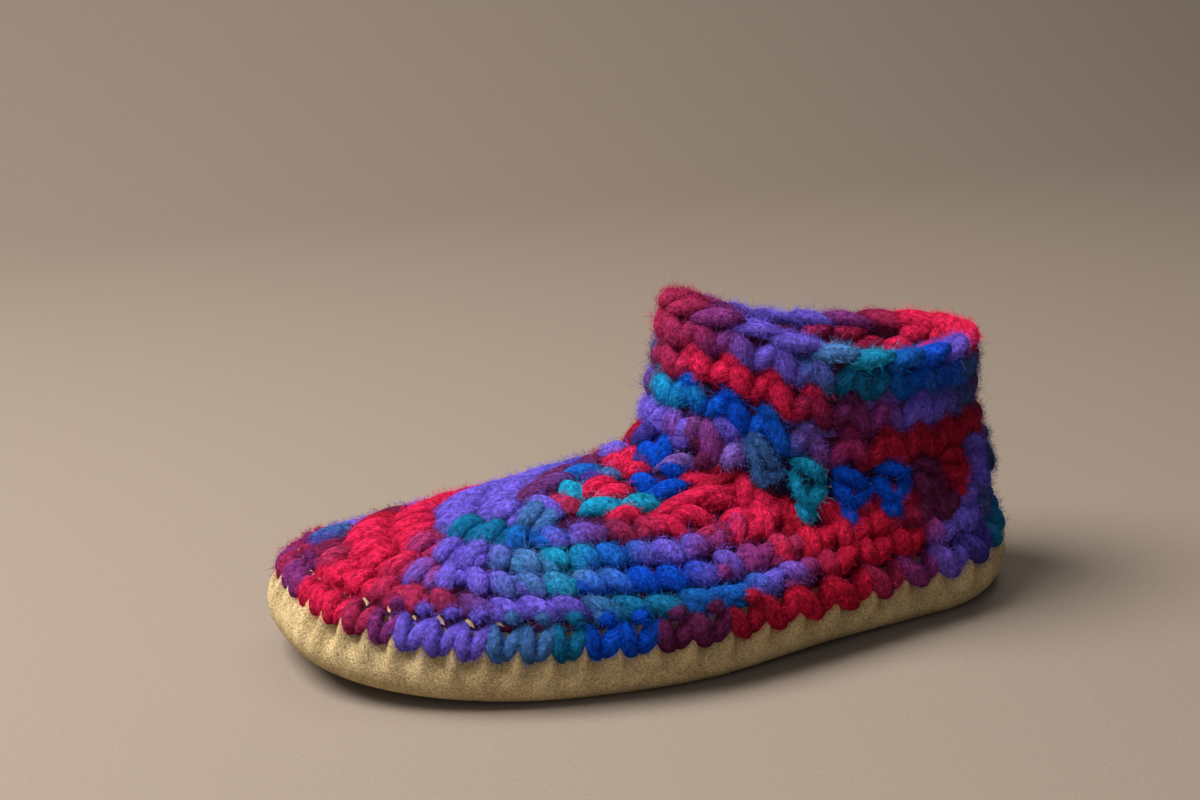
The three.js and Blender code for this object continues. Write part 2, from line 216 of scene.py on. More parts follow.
class Finish:
    """A matt material whose colour and relief are made of nodes."""

    def __init__(self, name, roughness, gloss):
        self.material = bpy.data.materials.new(name)
        self.material.use_nodes = True
        self.tree = self.material.node_tree
        self.shader = self.tree.nodes["Principled BSDF"]
        self.shader.inputs["Roughness"].default_value = roughness
        self.shader.inputs["Specular IOR Level"].default_value = gloss
        self.place = self.add("ShaderNodeTexCoord", output="Object")

    def add(self, kind, inputs=None, output=0, **settings):
        node = self.tree.nodes.new(kind)
        for key, value in settings.items():
            setattr(node, key, value)
        for key, value in (inputs or {}).items():
            if isinstance(value, bpy.types.NodeSocket):
                self.tree.links.new(value, node.inputs[key])
            else:
                node.inputs[key].default_value = value
        return node.outputs[output]

    def noise(self, vector, scale, detail=2, roughness=0.5):
        return self.add("ShaderNodeTexNoise", {"Vector": vector, "Scale": scale, "Detail": detail,
                                               "Roughness": roughness})

    def maths(self, operation, *values):
        return self.add("ShaderNodeMath", dict(enumerate(values)), operation=operation)

    def spread(self, value, low, high, to_low, to_high):
        return self.add("ShaderNodeMapRange", {"Value": value, "From Min": low, "From Max": high,
                                               "To Min": to_low, "To Max": to_high})

    def shaded(self, colour, tone):
        return self.add("ShaderNodeVectorMath", {0: colour, "Scale": tone}, operation="SCALE")

    def ramp(self, value, *stops):
        """A colour for a value; the stops are (value, colour) from low to high."""
        colour = self.add("ShaderNodeValToRGB", {"Fac": value})
        elements = colour.node.color_ramp.elements
        for element, (at, tint) in zip(elements, (stops[0], stops[-1])):
            element.position, element.color = at, (*tint, 1)
        for at, tint in stops[1:-1]:
            elements.new(at).color = (*tint, 1)
        return colour

    def cover(self, colour, height=None, strength=0.0, depth=0.0):
        """Joins the colour, and a relief of a depth in millimetres, to the shader."""
        self.tree.links.new(colour, self.shader.inputs["Base Color"])
        if height is not None:
            relief = self.add("ShaderNodeBump", {"Height": height, "Strength": strength,
                                                 "Distance": depth * MILLIMETRE})
            self.tree.links.new(relief, self.shader.inputs["Normal"])


suede_rng = np.random.default_rng(7)
pucker_size = np.resize(1 + PUCKER_DEPTH_SPREAD * suede_rng.standard_normal(LOOPS), LOOPS + 1)
pucker_reach = np.resize(1 + PUCKER_REACH_SPREAD * suede_rng.standard_normal(LOOPS), LOOPS + 1)


def suede_wall(a, rise, inset):
    """The suede's side from its foot (rise 0) to its edge (rise 1): pulled in under the
    loops and puffed out between them."""
    x = outline_point(a, 0)[0]
    foot = (WALL_FOOT + lift(x)) / edge_height(x)
    phase = loop_phase(a)
    ridge = 0.5 + 0.5 * np.cos(2 * np.pi * phase)
    size = np.interp(phase, np.arange(LOOPS + 1), pucker_size)
    reach = PUCKER_REACH * np.interp(phase, np.arange(LOOPS + 1), pucker_reach)
    reach = np.clip((rise - PUCKER_START) / reach, 0, 1) ** PUCKER_SHARPNESS
    puff = PUCKER_DEPTH * size * (ridge ** PUCKER_SHARPNESS - PUCKER_MIDDLE) * reach
    belly = BELLY * math.sin(math.pi * min(1.0, rise / BELLY_TOP))
    point = wall_point(a, foot + (1 - foot) * rise, inset - puff - belly)
    pointed = max(0.0, (rise - POINT_START) / (1 - POINT_START))
    point[:, 2] += EDGE_POINT * (POINT_MIDDLE - ridge) * pointed
    return point


def level_ring(a, inset, height):
    x, y = outline_point(a, inset)
    return np.stack([x, y, height + lift(x)], -1)


a_sole = np.arange(SUEDE_COLUMNS) / SUEDE_COLUMNS
under_rings = [level_ring(a_sole, *edge) for edge in UNDER_EDGE]
tray_rings = [level_ring(a_sole, *edge) for edge in TRAY_EDGE]
sole_rings = closed_to_middle(under_rings[0], (1, 0.75, 0.5, 0.25)) + under_rings
sole_rings += [suede_wall(a_sole, rise, 0) for rise in WALL_RISES]
sole_rings += [suede_wall(a_sole, rise, SUEDE) for rise in TRAY_WALL_RISES]
sole_rings += tray_rings + closed_to_middle(tray_rings[-1], (0.4, 1))

suede = Finish("tan_suede", roughness=0.96, gloss=0.08)
nap = suede.noise(suede.place, 1700, 2, 0.6)
brush = suede.noise(suede.place, 190, 4, 0.6)
cloud = suede.noise(suede.place, 34, 3)
speck = suede.maths("MULTIPLY_ADD", brush, 0.35, nap)
tone = suede.maths("MULTIPLY_ADD", cloud, 0.35, speck)
tone = suede.maths("DIVIDE", tone, 1.7)
suede.cover(suede.ramp(tone, (0.34, SUEDE_DARK), (0.66, SUEDE_LIGHT)), speck, strength=0.55, depth=0.9)

suede_sole = piece(lofted("suede_sole", sole_rings), suede)
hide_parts("sole")

# Felt insole: a thick grey-brown wool felt pad, cut to the foot and laid loose on the suede.
# Its upper edge is rounded by wear and its face is slightly matted.
FELT, FELT_GAP = 4.0, 0.3
FELT_COLUMNS = 96
FELT_SIDE = ((0.8, 0.0), (0.0, 0.9), (0.0, FELT - 1.6), (0.9, FELT - 0.4), (3.0, FELT))
FELT_DARK, FELT_LIGHT = (0.12, 0.10, 0.08), (0.42, 0.37, 0.30)
FELT_SHEEN = 0.3

a_felt = np.arange(FELT_COLUMNS) / FELT_COLUMNS
felt_side = [level_ring(a_felt, SUEDE + TRAY_MARGIN + inset, SUEDE + FELT_GAP + height)
             for inset, height in FELT_SIDE]
felt_rings = closed_to_middle(felt_side[0], (1, 0.5)) + felt_side
felt_rings += closed_to_middle(felt_side[-1], (0.35, 0.7, 1))

felt = Finish("grey_felt", roughness=1.0, gloss=0.5)
felt.shader.inputs["Sheen Weight"].default_value = FELT_SHEEN
matted = felt.noise(felt.place, 420, 5, 0.7)
felt.cover(felt.ramp(matted, (0, FELT_DARK), (1, FELT_LIGHT)), matted, strength=0.5, depth=0.8)
felt_insole = piece(lofted("felt_insole", felt_rings), felt)
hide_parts("insole")

# Inside of the crochet: the backs of the stitches make a thick, closed wool wall. One band
# runs from the suede up behind the ankle's posts and one makes the cuff, and only a narrow
# slit stays open between them. The wall is coloured near black as painted shade, so that the
# crevices between the rounds and the gaps between the posts look dark.
WALL = 6.5
FACE_DEPTH, CUFF_FACE_DEPTH = 3.4, 2.4
OVERHANG = 3.0
GAP = 0.3
POSTS_TOP = 0.31
COLLAR_BEND_SHARE = 0.6
ANKLE_GATHER = 1.6
TURN_UP_POWER = 10
WALL_COLUMNS = 144
HEM_FACE_INSET, HEM_BACK_INSET = 0.2, SUEDE + 0.6
FOOT_LEVELS = (0.12, 0.25, 0.4, 0.55, 0.7, 0.82, 0.92, 1.0, 1.15, 1.3, 1.45, 1.64)
CUFF_LEVELS = (0.215, 0.26, 0.31, 0.37, 0.48, 0.6, 0.72, 0.84, 1.0)
RIM_ROUND, RIM_DEPTHS = 1.6, (FACE_DEPTH - 0.4, WALL - 0.6)
# Painted shade: the inside wool's colours are near-black indigo, maroon and navy.
PAINTED_SHADE_INDIGO, PAINTED_SHADE_MAROON, PAINTED_SHADE_NAVY = (0.014, 0.008, 0.035), (0.05, 0.004, 0.014), (0.008, 0.016, 0.045)
FOOT_FORM = {
    "at": (0.0, 0.24, 0.3, 0.36, 0.42, 0.46, 0.5),
    "lean": (1.2, 1.25, 1.35, 1.35, 1.25, 1.2, 1.2),
    "swell": (0.95, 0.9, 0.86, 0.94, 1.1, 1.15, 1.15),
    "turn_up": (0, 0, 0.03, 0.12, 0.22, 0.26, 0.26),
}
CUFF_ROUNDS = {
    "at": (0.0, 0.31, 0.55, 1.0),
    "back": (-121, -116.5, -113, -114),
    "front": (9, 5.5, 3.5, 1),
    "half_width": (40, 37, 35.5, 35),
    "low": (38.5, 53, 64, 82.5),
    "high": (65, 73.5, 83, 101.5),
    "climb": (8, 8, 6, 4),
    "settle": (1, 2.5, 3.4, 2),
}


def cuff_point(a, level):
    """A point on a round of the ankle or cuff; level 0 is the ankle line and 1 the rim."""
    def size(column):
        return np.interp(level, CUFF_ROUNDS["at"], CUFF_ROUNDS[column])
    swing = np.pi * (1 - (1 - 2 * folded(a)) ** ANKLE_GATHER)
    share = (1 - np.cos(swing)) / 2
    x = size("back") + (size("front") - size("back")) * share
    side = np.where(np.mod(a, 1) <= 0.5, 1, -1) * size("half_width") * np.sin(swing)
    rise = 1 - (1 - share ** size("climb")) ** size("settle")
    z = size("low") + (size("high") - size("low")) * rise
    return np.stack([x, COLLAR_BEND_SHARE * centre_line(x) + side, z], -1)


def foot_point(a, v):
    """A point on the foot between the suede's edge (v = 0) and the ankle line (v = 1)."""
    def form(column):
        return np.interp(folded(a), FOOT_FORM["at"], FOOT_FORM[column])
    low = wall_point(a, 1.0, -OVERHANG)
    low[..., 2] += GAP
    high = cuff_point(a, np.zeros_like(a))
    across = v ** form("lean")
    up = v ** form("swell")
    up = up + (v ** TURN_UP_POWER - up) * form("turn_up")
    x = low[..., 0] + (high[..., 0] - low[..., 0]) * across
    low_side = low[..., 1] - centre_line(low[..., 0])
    high_side = high[..., 1] - centre_line(high[..., 0])
    y = centre_line(x) + low_side + (high_side - low_side) * across
    return np.stack([x, y, low[..., 2] + (high[..., 2] - low[..., 2]) * up], -1)


def upper_point(a, v):
    """The whole upper as one face: the foot up to 1, then the cuff from the ankle line."""
    on_foot = foot_point(a, np.clip(v, 0, 1))
    on_cuff = cuff_point(a, np.clip((v - 1) * POSTS_TOP, 0, 1))
    return np.where((v > 1)[..., None], on_cuff, on_foot)


def unit(vectors):
    return vectors / np.linalg.norm(vectors, axis=-1)[..., None]


def outward(surface, a, v, step=0.006):
    a, v = np.broadcast_arrays(a, v)
    around = surface(a - step, v) - surface(a + step, v)
    rise = surface(a, v + step) - surface(a, np.maximum(v - step, 0))
    return unit(np.cross(around, rise))


a_wall = np.arange(WALL_COLUMNS) / WALL_COLUMNS


def wall_ring(surface, v, depth):
    v = np.full_like(a_wall, v)
    return surface(a_wall, v) - depth * outward(surface, a_wall, v)


def hem_ring(inset):
    ring = wall_point(a_wall, 1.0, inset)
    ring[:, 2] += GAP
    return ring


foot_rings = [hem_ring(HEM_FACE_INSET)] + [wall_ring(upper_point, v, FACE_DEPTH) for v in FOOT_LEVELS]
foot_rings += [wall_ring(upper_point, v, WALL) for v in FOOT_LEVELS[::-1]] + [hem_ring(HEM_BACK_INSET)]
cuff_rings = [wall_ring(cuff_point, level, CUFF_FACE_DEPTH) for level in CUFF_LEVELS]
cuff_rings += [wall_ring(cuff_point, 1.0, depth) + (0, 0, RIM_ROUND) for depth in RIM_DEPTHS]
cuff_rings += [wall_ring(cuff_point, level, WALL) for level in CUFF_LEVELS[::-1]]
bands = [rings + rings[:1] for rings in (foot_rings, cuff_rings)]

inside_wool_painted_shade = Finish("inside_wool_painted_shade", roughness=1.0, gloss=0.02)
knots = inside_wool_painted_shade.add("ShaderNodeTexVoronoi", {"Vector": inside_wool_painted_shade.place, "Scale": 115})
fibre = inside_wool_painted_shade.noise(inside_wool_painted_shade.place, 900, 3)
shades = inside_wool_painted_shade.noise(inside_wool_painted_shade.place, 22, 1)
lumps = inside_wool_painted_shade.maths("MULTIPLY_ADD", fibre, 0.5, knots)
# Painted shade: the ramp runs only between the near-black colours of the inside wall.
inside_wool_painted_shade.cover(inside_wool_painted_shade.ramp(shades, (0.3, PAINTED_SHADE_INDIGO), (0.5, PAINTED_SHADE_MAROON), (0.72, PAINTED_SHADE_NAVY)),
                  lumps, strength=0.8, depth=3.0)
wool_wall = piece(lofted("wool_wall", *bands), inside_wool_painted_shade)
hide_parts("upper")

# Rounds of the foot: single crochet in thick, loosely spun wool that is dyed in long runs.
# Each stitch shows two fat legs: upright vees at the heel, slanting strands like those of a
# rope along the side, and short lobes at the toe. The first three rounds go all the way round.
DYES = {
    "red": (0.72, 0.018, 0.085), "crimson": (0.39, 0.011, 0.037), "raspberry": (0.40, 0.025, 0.095),
    "plum": (0.13, 0.018, 0.075), "violet": (0.165, 0.11, 0.68), "lilac": (0.26, 0.14, 0.56),
    "indigo": (0.055, 0.04, 0.30), "royal": (0.004, 0.075, 0.62), "blue": (0.012, 0.12, 0.55),
    "teal": (0.008, 0.155, 0.34), "turquoise": (0.012, 0.31, 0.56), "steel": (0.06, 0.17, 0.46),
    "slate": (0.06, 0.08, 0.26), "mauve": (0.24, 0.035, 0.20), "ruby": (0.50, 0.010, 0.042),
    "sky": (0.09, 0.26, 0.62),
}
STRAND_SIDES, STRAND_RINGS = 8, 7
TAPER, FLATNESS = 0.38, 0.92
PLY_RIDGE, PLY_TURN = 0.07, 2.6
FIBRE_TWIST, FIBRE_STRETCH, FIBRE_SCATTER = 1.3, 0.28, 9
THICKNESS_SPREAD, OUT_SPREAD, DYE_SPREAD = 0.07, 0.3, 0.06
PASSAGE, STEADY_SHARE = 0.003, 0.2
# Painted shade: each strand's colour darkens towards its ends, where it dips into the fabric, and painted
# light brightens its middle.
END_PAINTED_SHADE, END_PAINTED_SHADE_POWER = 0.62, 2.4
MIDDLE_PAINTED_LIGHT = 1.1
STEP, ROUND_SAMPLES = 0.04, 1500
yarn_rng = np.random.default_rng(21)


def blend(one, other, share):
    return np.asarray(one) * (1 - share) + np.asarray(other) * share


def chart(text):
    """Dyes stitch by stitch along a round, from words such as '3 red, 2 plum', with soft
    passages between them."""
    runs = [run.split() for run in text.split(",")]
    dyes = np.array([DYES[dye] for count, dye in runs for _ in range(int(count))])

    def dye_at(s):
        first = np.floor(s - 0.5).astype(int)
        mix = eased((s - 0.5 - first - STEADY_SHARE) / (1 - 2 * STEADY_SHARE))
        return blend(dyes[first % len(dyes)], dyes[(first + 1) % len(dyes)], mix[..., None])

    return dye_at


def dyed_by_place(text, where):
    """Dyes along a round, from words such as 'red .45, plum .4': each dye lasts to its place
    round the foot, from the toe (.5) along the left side to the heel (0) and on to -.5."""
    runs = [run.split() for run in text.split(",")]
    ends = np.array([float(end) for _, end in runs])
    stops = np.stack([np.append(0.5, ends[:-1]) - PASSAGE, ends + PASSAGE], 1).ravel()
    dyes = np.repeat(np.array([DYES[dye] for dye, _ in runs]), 2, 0)

    def dye_at(s):
        return np.stack([np.interp(-where(s), -stops, dyes[:, i]) for i in range(3)], -1)

    return dye_at


lens = bmesh.new()
bmesh.ops.create_uvsphere(lens, u_segments=STRAND_SIDES, v_segments=STRAND_RINGS + 1, radius=1.0)
lens.verts.ensure_lookup_table()
LENS_POINTS = np.array([vert.co for vert in lens.verts])
LENS_FACES = [[vert.index for vert in face.verts] for face in lens.faces]
lens.free()


def dyed_mesh(name, points, faces, dye):
    """One mesh of many like parts, with their colours as an attribute named dye; on strands of yarn these
    colours also hold painted shade and painted light.
    """
    mesh = bpy.data.meshes.new(name)
    mesh.from_pydata(in_frame(points.reshape(-1, 3)).tolist(), [], faces)
    layer = mesh.attributes.new("dye", "FLOAT_COLOR", "POINT")
    layer.data.foreach_set("color", np.c_[dye, np.ones(len(dye))].astype(np.float32).ravel())
    return mesh


def strand_frame(strands, t):
    """Middle, direction, side and top of each strand at the shares t of its length."""
    start, bend, end = (strands["path"][:, i, None, :] for i in range(3))
    t = t[..., None]
    middle = start * (1 - t) ** 2 + 2 * bend * t * (1 - t) + end * t ** 2
    run = unit((bend - start) * (1 - t) + (end - bend) * t)
    side = unit(np.cross(run, strands["out"][:, None, :]))
    return middle, run, side, np.cross(side, run)


def strand_round(strands, z):
    """Thickness along a strand, full in the middle and drawn in to its ends."""
    return strands["radius"][:, None] * (1 - z ** 2) ** TAPER


def strand_dye(strands, share):
    return blend(strands["dye"][:, 0, None], strands["dye"][:, 1, None], share)


def strand_piece(name, strands, finish):
    """Fat strands of yarn, each a lens that is bent along its own path."""
    count, z = len(strands["path"]), LENS_POINTS[:, 2]
    z_all = np.broadcast_to(z, (count, len(z)))
    middle, run, side, top = strand_frame(strands, (z_all + 1) / 2)
    girth = np.maximum(np.hypot(LENS_POINTS[:, 0], LENS_POINTS[:, 1]), 1e-9)
    cosine, sine = LENS_POINTS[:, 0] / girth, LENS_POINTS[:, 1] / girth
    start = 2 * np.pi * yarn_rng.random((count, 1))
    ply = 1 + PLY_RIDGE * np.cos(2 * np.arctan2(sine, cosine) - PLY_TURN * z + start)
    radius = strand_round(strands, np.clip(z_all, -1, 1)) * ply
    points = middle + radius[..., None] * (cosine[:, None] * side + FLATNESS * sine[:, None] * top)
    dye = strand_dye(strands, ((z + 1) / 2)[None, :, None])
    dye = dye * (1 + DYE_SPREAD * yarn_rng.standard_normal(dye.shape[:2] + (1,)))
    # Painted shade at both ends of each strand and painted light in its middle, baked into its dye colour.
    dye = dye * (MIDDLE_PAINTED_LIGHT - END_PAINTED_SHADE * np.abs(z) ** END_PAINTED_SHADE_POWER)[None, :, None]
    twist = FIBRE_TWIST * z
    fibre = np.stack([np.cos(twist) * cosine - np.sin(twist) * sine,
                      np.sin(twist) * cosine + np.cos(twist) * sine, FIBRE_STRETCH * z], -1)
    fibre = fibre + FIBRE_SCATTER * yarn_rng.random((count, 1, 3))
    faces = [[corner + len(z) * i for corner in face] for i in range(count) for face in LENS_FACES]
    mesh = dyed_mesh(name, points, faces, np.clip(dye, 0, 1).reshape(-1, 3))
    layer = mesh.attributes.new("fibre", "FLOAT_VECTOR", "POINT")
    layer.data.foreach_set("vector", fibre.astype(np.float32).ravel())
    obj = piece(mesh, finish)
    smooth = obj.modifiers.new("soft", "SUBSURF")
    smooth.levels = smooth.render_levels = 1
    return obj


def together(*groups):
    return {key: np.concatenate([group[key] for group in groups]) for key in groups[0]}


def legs(place, stitches, dyes, path, radius, slack=0.06, run_on=1.0, stray=0.25):
    """One strand for every stitch of a round. Path gives three points as (along, up, out):
    along in stitches, up in rounds and out in millimetres from the face. The dye runs on
    along the round from stitch to stitch."""
    s0 = np.asarray(stitches, float)
    count = len(s0)
    shake = yarn_rng.standard_normal((count, 3, 3)) * (slack, slack, OUT_SPREAD)
    local = np.broadcast_to(np.asarray(path, float), (count, 3, 3)) + shake
    s, h = s0[:, None] + local[..., 0], local[..., 1]
    out = unit(np.cross(place(s + STEP, h) - place(s - STEP, h), place(s, h + STEP) - place(s, h - STEP)))
    drift = s0 + stray * yarn_rng.standard_normal(count)
    ends = drift[:, None] + run_on * local[:, [0, 2], 0]
    size = radius * (1 + THICKNESS_SPREAD * yarn_rng.standard_normal(count))
    return {"path": place(s, h) + local[..., 2:] * out, "out": out[:, 1], "radius": size, "dye": dyes(ends)}


# Middle lines of the rounds on the foot, as shares of the way up at places round the foot.
# The heel has few rounds; the others bend over the toe and end on the ankle line.
ROUND_AT = (0, .12, .18, .22, .242, .264, .28, .296, .31, .33, .35, .37, .40, .43, .46, .50)
ROUND_LINES = np.array([
    (0,) * 16,
    (.41, .41, .385, .36, .27, .18, .15, .145, .15, .165, .19, .20, .195, .18, .15, .12),
    (.92, .92, .88, .78, .655, .53, .465, .42, .39, .38, .37, .36, .35, .33, .29, .25),
    (1.18, 1.18, 1.16, 1.12, 1.06, 1.0, .88, .66, .595, .565, .545, .52, .48, .445, .41, .385),
    (1.8, 1.8, 1.75, 1.65, 1.5, 1.35, 1.2, 1.0, .90, .765, .70, .665, .625, .575, .535, .50),
    (2.2, 2.2, 2.2, 2.1, 1.9, 1.7, 1.5, 1.3, 1.1, .93, .865, .81, .755, .70, .66, .605),
    (2.6, 2.6, 2.6, 2.5, 2.3, 2.1, 1.9, 1.6, 1.4, 1.1, 1.0, .91, .86, .825, .79, .71),
    (3.0, 3.0, 3.0, 2.9, 2.7, 2.5, 2.3, 2.0, 1.8, 1.4, 1.15, 1.03, .96, .93, .90, .83),
])


def round_share_up(a, number):
    lines = np.stack([np.interp(folded(a), ROUND_AT, line) for line in ROUND_LINES])
    low = np.clip(np.floor(number).astype(int), 0, len(ROUND_LINES) - 2)
    at_low = np.take_along_axis(lines, low[None], 0)[0]
    at_high = np.take_along_axis(lines, low[None] + 1, 0)[0]
    return at_low + (at_high - at_low) * (number - low)


HEEL_DRAW, HEEL_DRAW_REACH, HEEL_DRAW_POWER = 3.0, 0.16, 0.7
HEEL_DRAW_TOP, HEEL_DRAW_FADE = 1.6, 0.6


def drawn_in(a, v):
    """The face of the upper, drawn in a little round the back of the heel."""
    share = np.clip(1 - folded(a) / HEEL_DRAW_REACH, 0, 1)
    share = share * np.clip((HEEL_DRAW_TOP - v) / HEEL_DRAW_FADE, 0, 1)
    point = upper_point(a, v)
    point[..., 0] += HEEL_DRAW * share ** HEEL_DRAW_POWER
    return point


def round_on_foot(number, first, last, pitches, closed):
    """Stitches of a round on the foot: their numbers, the face as (stitches, rounds), and for
    each its place round the foot and its share of the round. Pitches are (place, length)."""
    a = np.linspace(first, last, ROUND_SAMPLES)
    points = upper_point(a, round_share_up(a, np.full_like(a, float(number))))
    pitch = np.interp(folded(a[1:]), *zip(*pitches))
    steps = np.linalg.norm(np.diff(points, axis=0), axis=1)
    run = np.append(0, np.cumsum(steps / pitch))
    count = int(round(run[-1]))
    run *= count / run[-1]

    def along(s, values):
        return np.interp(np.mod(s, count) if closed else np.clip(s, 0, count), run, values)

    def where(s):
        return along(s, a)

    def share(s):
        return along(s, np.append(0, np.cumsum(steps)) / steps.sum())

    def place(s, h):
        at = where(s)
        return drawn_in(at, np.maximum(round_share_up(at, number + h), 0.0))

    return np.arange(count) + 0.5, place, where, share


# Legs of a stitch as three points (along, up, out), in front and behind, and their sizes
VEE_LEG = ((-0.58, 0.74, -3.2), (-0.24, 0.16, 1.0), (0.14, -0.74, -2.8))
VEE_BACK_LEG = ((0.04, -0.62, -3.4), (0.34, 0.0, -0.4), (0.50, 0.70, -3.4))
ROPE_LEG = ((-0.92, 0.40, -3.0), (-0.02, 0.14, 0.6), (0.92, -0.44, -2.8))
ROPE_BACK_LEG = ((-0.60, -0.10, -3.2), (0.10, 0.0, -2.0), (0.70, 0.10, -3.2))
LOBE_LEG = ((-0.40, 0.58, -3.4), (-0.10, 0.12, 0.9), (0.30, -0.60, -3.2))
LOBE_BACK_LEG = ((0.10, 0.56, -3.8), (0.42, 0.04, -2.6), (0.70, -0.54, -3.8))
VEE_SIZE, ROPE_SIZE, LOBE_SIZE = 4.5, 3.4, 4.2
BACK_LEG_SHARE, LOBE_BACK_SHARE = 0.95, 0.86
ROPE_FROM_X, ROPE_PASSAGE, LEAST_SLANT = -45, 60, 0.1
LOBES_FROM, LOBES_PASSAGE = 0.41, 0.05
RUN_ON = 0.4


def foot_stitches(place, stitches, dyes, where, sink=0.0):
    """Two legs a stitch, from upright vees at the heel to rope-like rounds along the side and
    short lobes over the toe; sink sets them back from the face."""
    x = place(stitches, np.zeros(len(stitches)))[:, 0]
    slant = np.clip((x - ROPE_FROM_X) / ROPE_PASSAGE, LEAST_SLANT, 1)
    lobed = np.clip((folded(where(stitches)) - LOBES_FROM) / LOBES_PASSAGE, 0, 1)
    radius = VEE_SIZE + (ROPE_SIZE - VEE_SIZE) * slant
    radius = radius + (LOBE_SIZE - radius) * lobed
    back_radius = radius * (BACK_LEG_SHARE + (LOBE_BACK_SHARE - BACK_LEG_SHARE) * lobed)
    slant, lobed = slant[:, None, None], lobed[:, None, None]
    front = blend(blend(VEE_LEG, ROPE_LEG, slant), LOBE_LEG, lobed)
    back = blend(blend(VEE_BACK_LEG, ROPE_BACK_LEG, slant), LOBE_BACK_LEG, lobed)
    for path in (front, back):
        path[..., 2] -= np.reshape(sink, (-1, 1))
    return together(legs(place, stitches, dyes, front, radius, run_on=RUN_ON),
                    legs(place, stitches, dyes, back, back_radius, run_on=RUN_ON))


wool = Finish("variegated_wool", roughness=0.95, gloss=0.04)
# On the strands the dye attribute holds their dye with painted shade at the ends and painted light in the
# middles.
dye_mark = wool.add("ShaderNodeAttribute", attribute_name="dye")
fibre_mark = wool.add("ShaderNodeAttribute", output="Vector", attribute_name="fibre")
hairs = wool.noise(fibre_mark, 11, 5, 0.62)
locks = wool.noise(fibre_mark, 2.6, 2)
matting = wool.noise(wool.place, 620, 3, 0.6)
streak = wool.spread(hairs, 0.34, 0.66, 0.5, 1.42)
cloud = wool.spread(locks, 0.3, 0.7, 0.84, 1.14)
mottle = wool.spread(matting, 0.34, 0.66, 0.6, 1.42)
tone = wool.maths("MULTIPLY", wool.maths("MULTIPLY", streak, cloud), mottle)
wool.cover(wool.shaded(dye_mark, tone), wool.maths("ADD", hairs, matting), strength=1.0, depth=1.6)

# Stitches lie closer along the side and toe than at the heel: (place round the foot, pitch)
ROUND_PITCH = ((0, 15.0), (0.18, 15.0), (0.24, 13.0), (0.28, 10.4), (0.33, 9.2), (0.38, 9.0),
               (0.44, 9.2), (0.5, 9.6))
FOOT_ROUNDS = (
    (1, 1.05, "red .455, raspberry .418, plum .402, violet .358, indigo .345, steel .333, teal .288,"
              "blue .248, violet .232, mauve .218, raspberry .204, ruby .14, crimson .115, violet .08,"
              "slate .03, teal -.02, blue -.1, violet -.15, plum -.2, crimson -.26, red -.33,"
              "raspberry -.36, violet -.42, steel -.44, indigo -.455, plum -.48, raspberry -.5"),
    (2, 0.93, "red .475, raspberry .452, violet .395, steel .376, turquoise .36, sky .347, royal .287,"
              "violet .272, mauve .25, raspberry .235, ruby .165, crimson .145, plum .11, violet .08,"
              "slate .03, teal -.03, blue -.1, indigo -.15, plum -.2, red -.3, raspberry -.34,"
              "violet -.40, plum -.42, crimson -.44, red -.5"),
    (3, 0.95, "red .49, raspberry .475, violet .436, steel .41, sky .395, turquoise .372, blue .335,"
              "violet .303, mauve .285, red .25, ruby .19, crimson .14, plum .12, crimson .09,"
              "violet .04, slate 0, teal -.05, blue -.12, violet -.17, plum -.22, crimson -.28, red -.5"),
)
POST_ROOM, POSTS_END, POSTS_PASSAGE = 1.6, 0.27, 0.02

foot_strands = []
for number, tightness, dyes in FOOT_ROUNDS:
    pitches = [(at, pitch * tightness) for at, pitch in ROUND_PITCH]
    stitches, place, where, share = round_on_foot(number, 0.5, -0.5, pitches, True)
    behind_posts = (number == 3) * np.clip((POSTS_END - np.abs(where(stitches))) / POSTS_PASSAGE, 0, 1)
    foot_strands.append(foot_stitches(place, stitches, dyed_by_place(dyes, where), where,
                                      POST_ROOM * behind_posts))
foot_strands = together(*foot_strands)
foot_rounds = strand_piece("foot_rounds", foot_strands, wool)
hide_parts("upper")

# Vamp: rounds of the same stitch that run from one side of the ankle over the toe to the
# other, each shorter than the one below it, until they meet on top of the foot.
VAMP_PITCH = ((0, 10.4), (0.38, 10.4), (0.43, 9.8), (0.5, 9.4))
# Number, end on the ankle line, first and last share that is worked, stitches of the chart
VAMP_ROUNDS = (
    (4, 0.302, 0.0, 0.875, 16, "3 crimson, 5 violet, 2 teal, 1 blue, 1 violet, 1 plum, 1 raspberry, 2 red"),
    (5, 0.325, 0.25, 0.667, 12, "1 royal, 1 blue, 5 violet, 1 steel, 1 violet, 3 raspberry"),
    (6, 0.355, 0.25, 0.5, 8, "2 royal, 1 violet, 5 plum"),
)


def dyed_by_share(text, count, share):
    even = chart(text)
    return lambda s: even(count * share(s))


vamp_strands = []
for number, end, first, last, count, text in VAMP_ROUNDS:
    stitches, place, where, share = round_on_foot(number, 1 - end, end, VAMP_PITCH, False)
    stitches = stitches[(share(stitches) > first) & (share(stitches) < last)]
    vamp_strands.append(foot_stitches(place, stitches, dyed_by_share(text, count, share), where))
vamp_strands = together(*vamp_strands)
vamp_rounds = strand_piece("vamp_rounds", vamp_strands, wool)
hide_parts("upper")

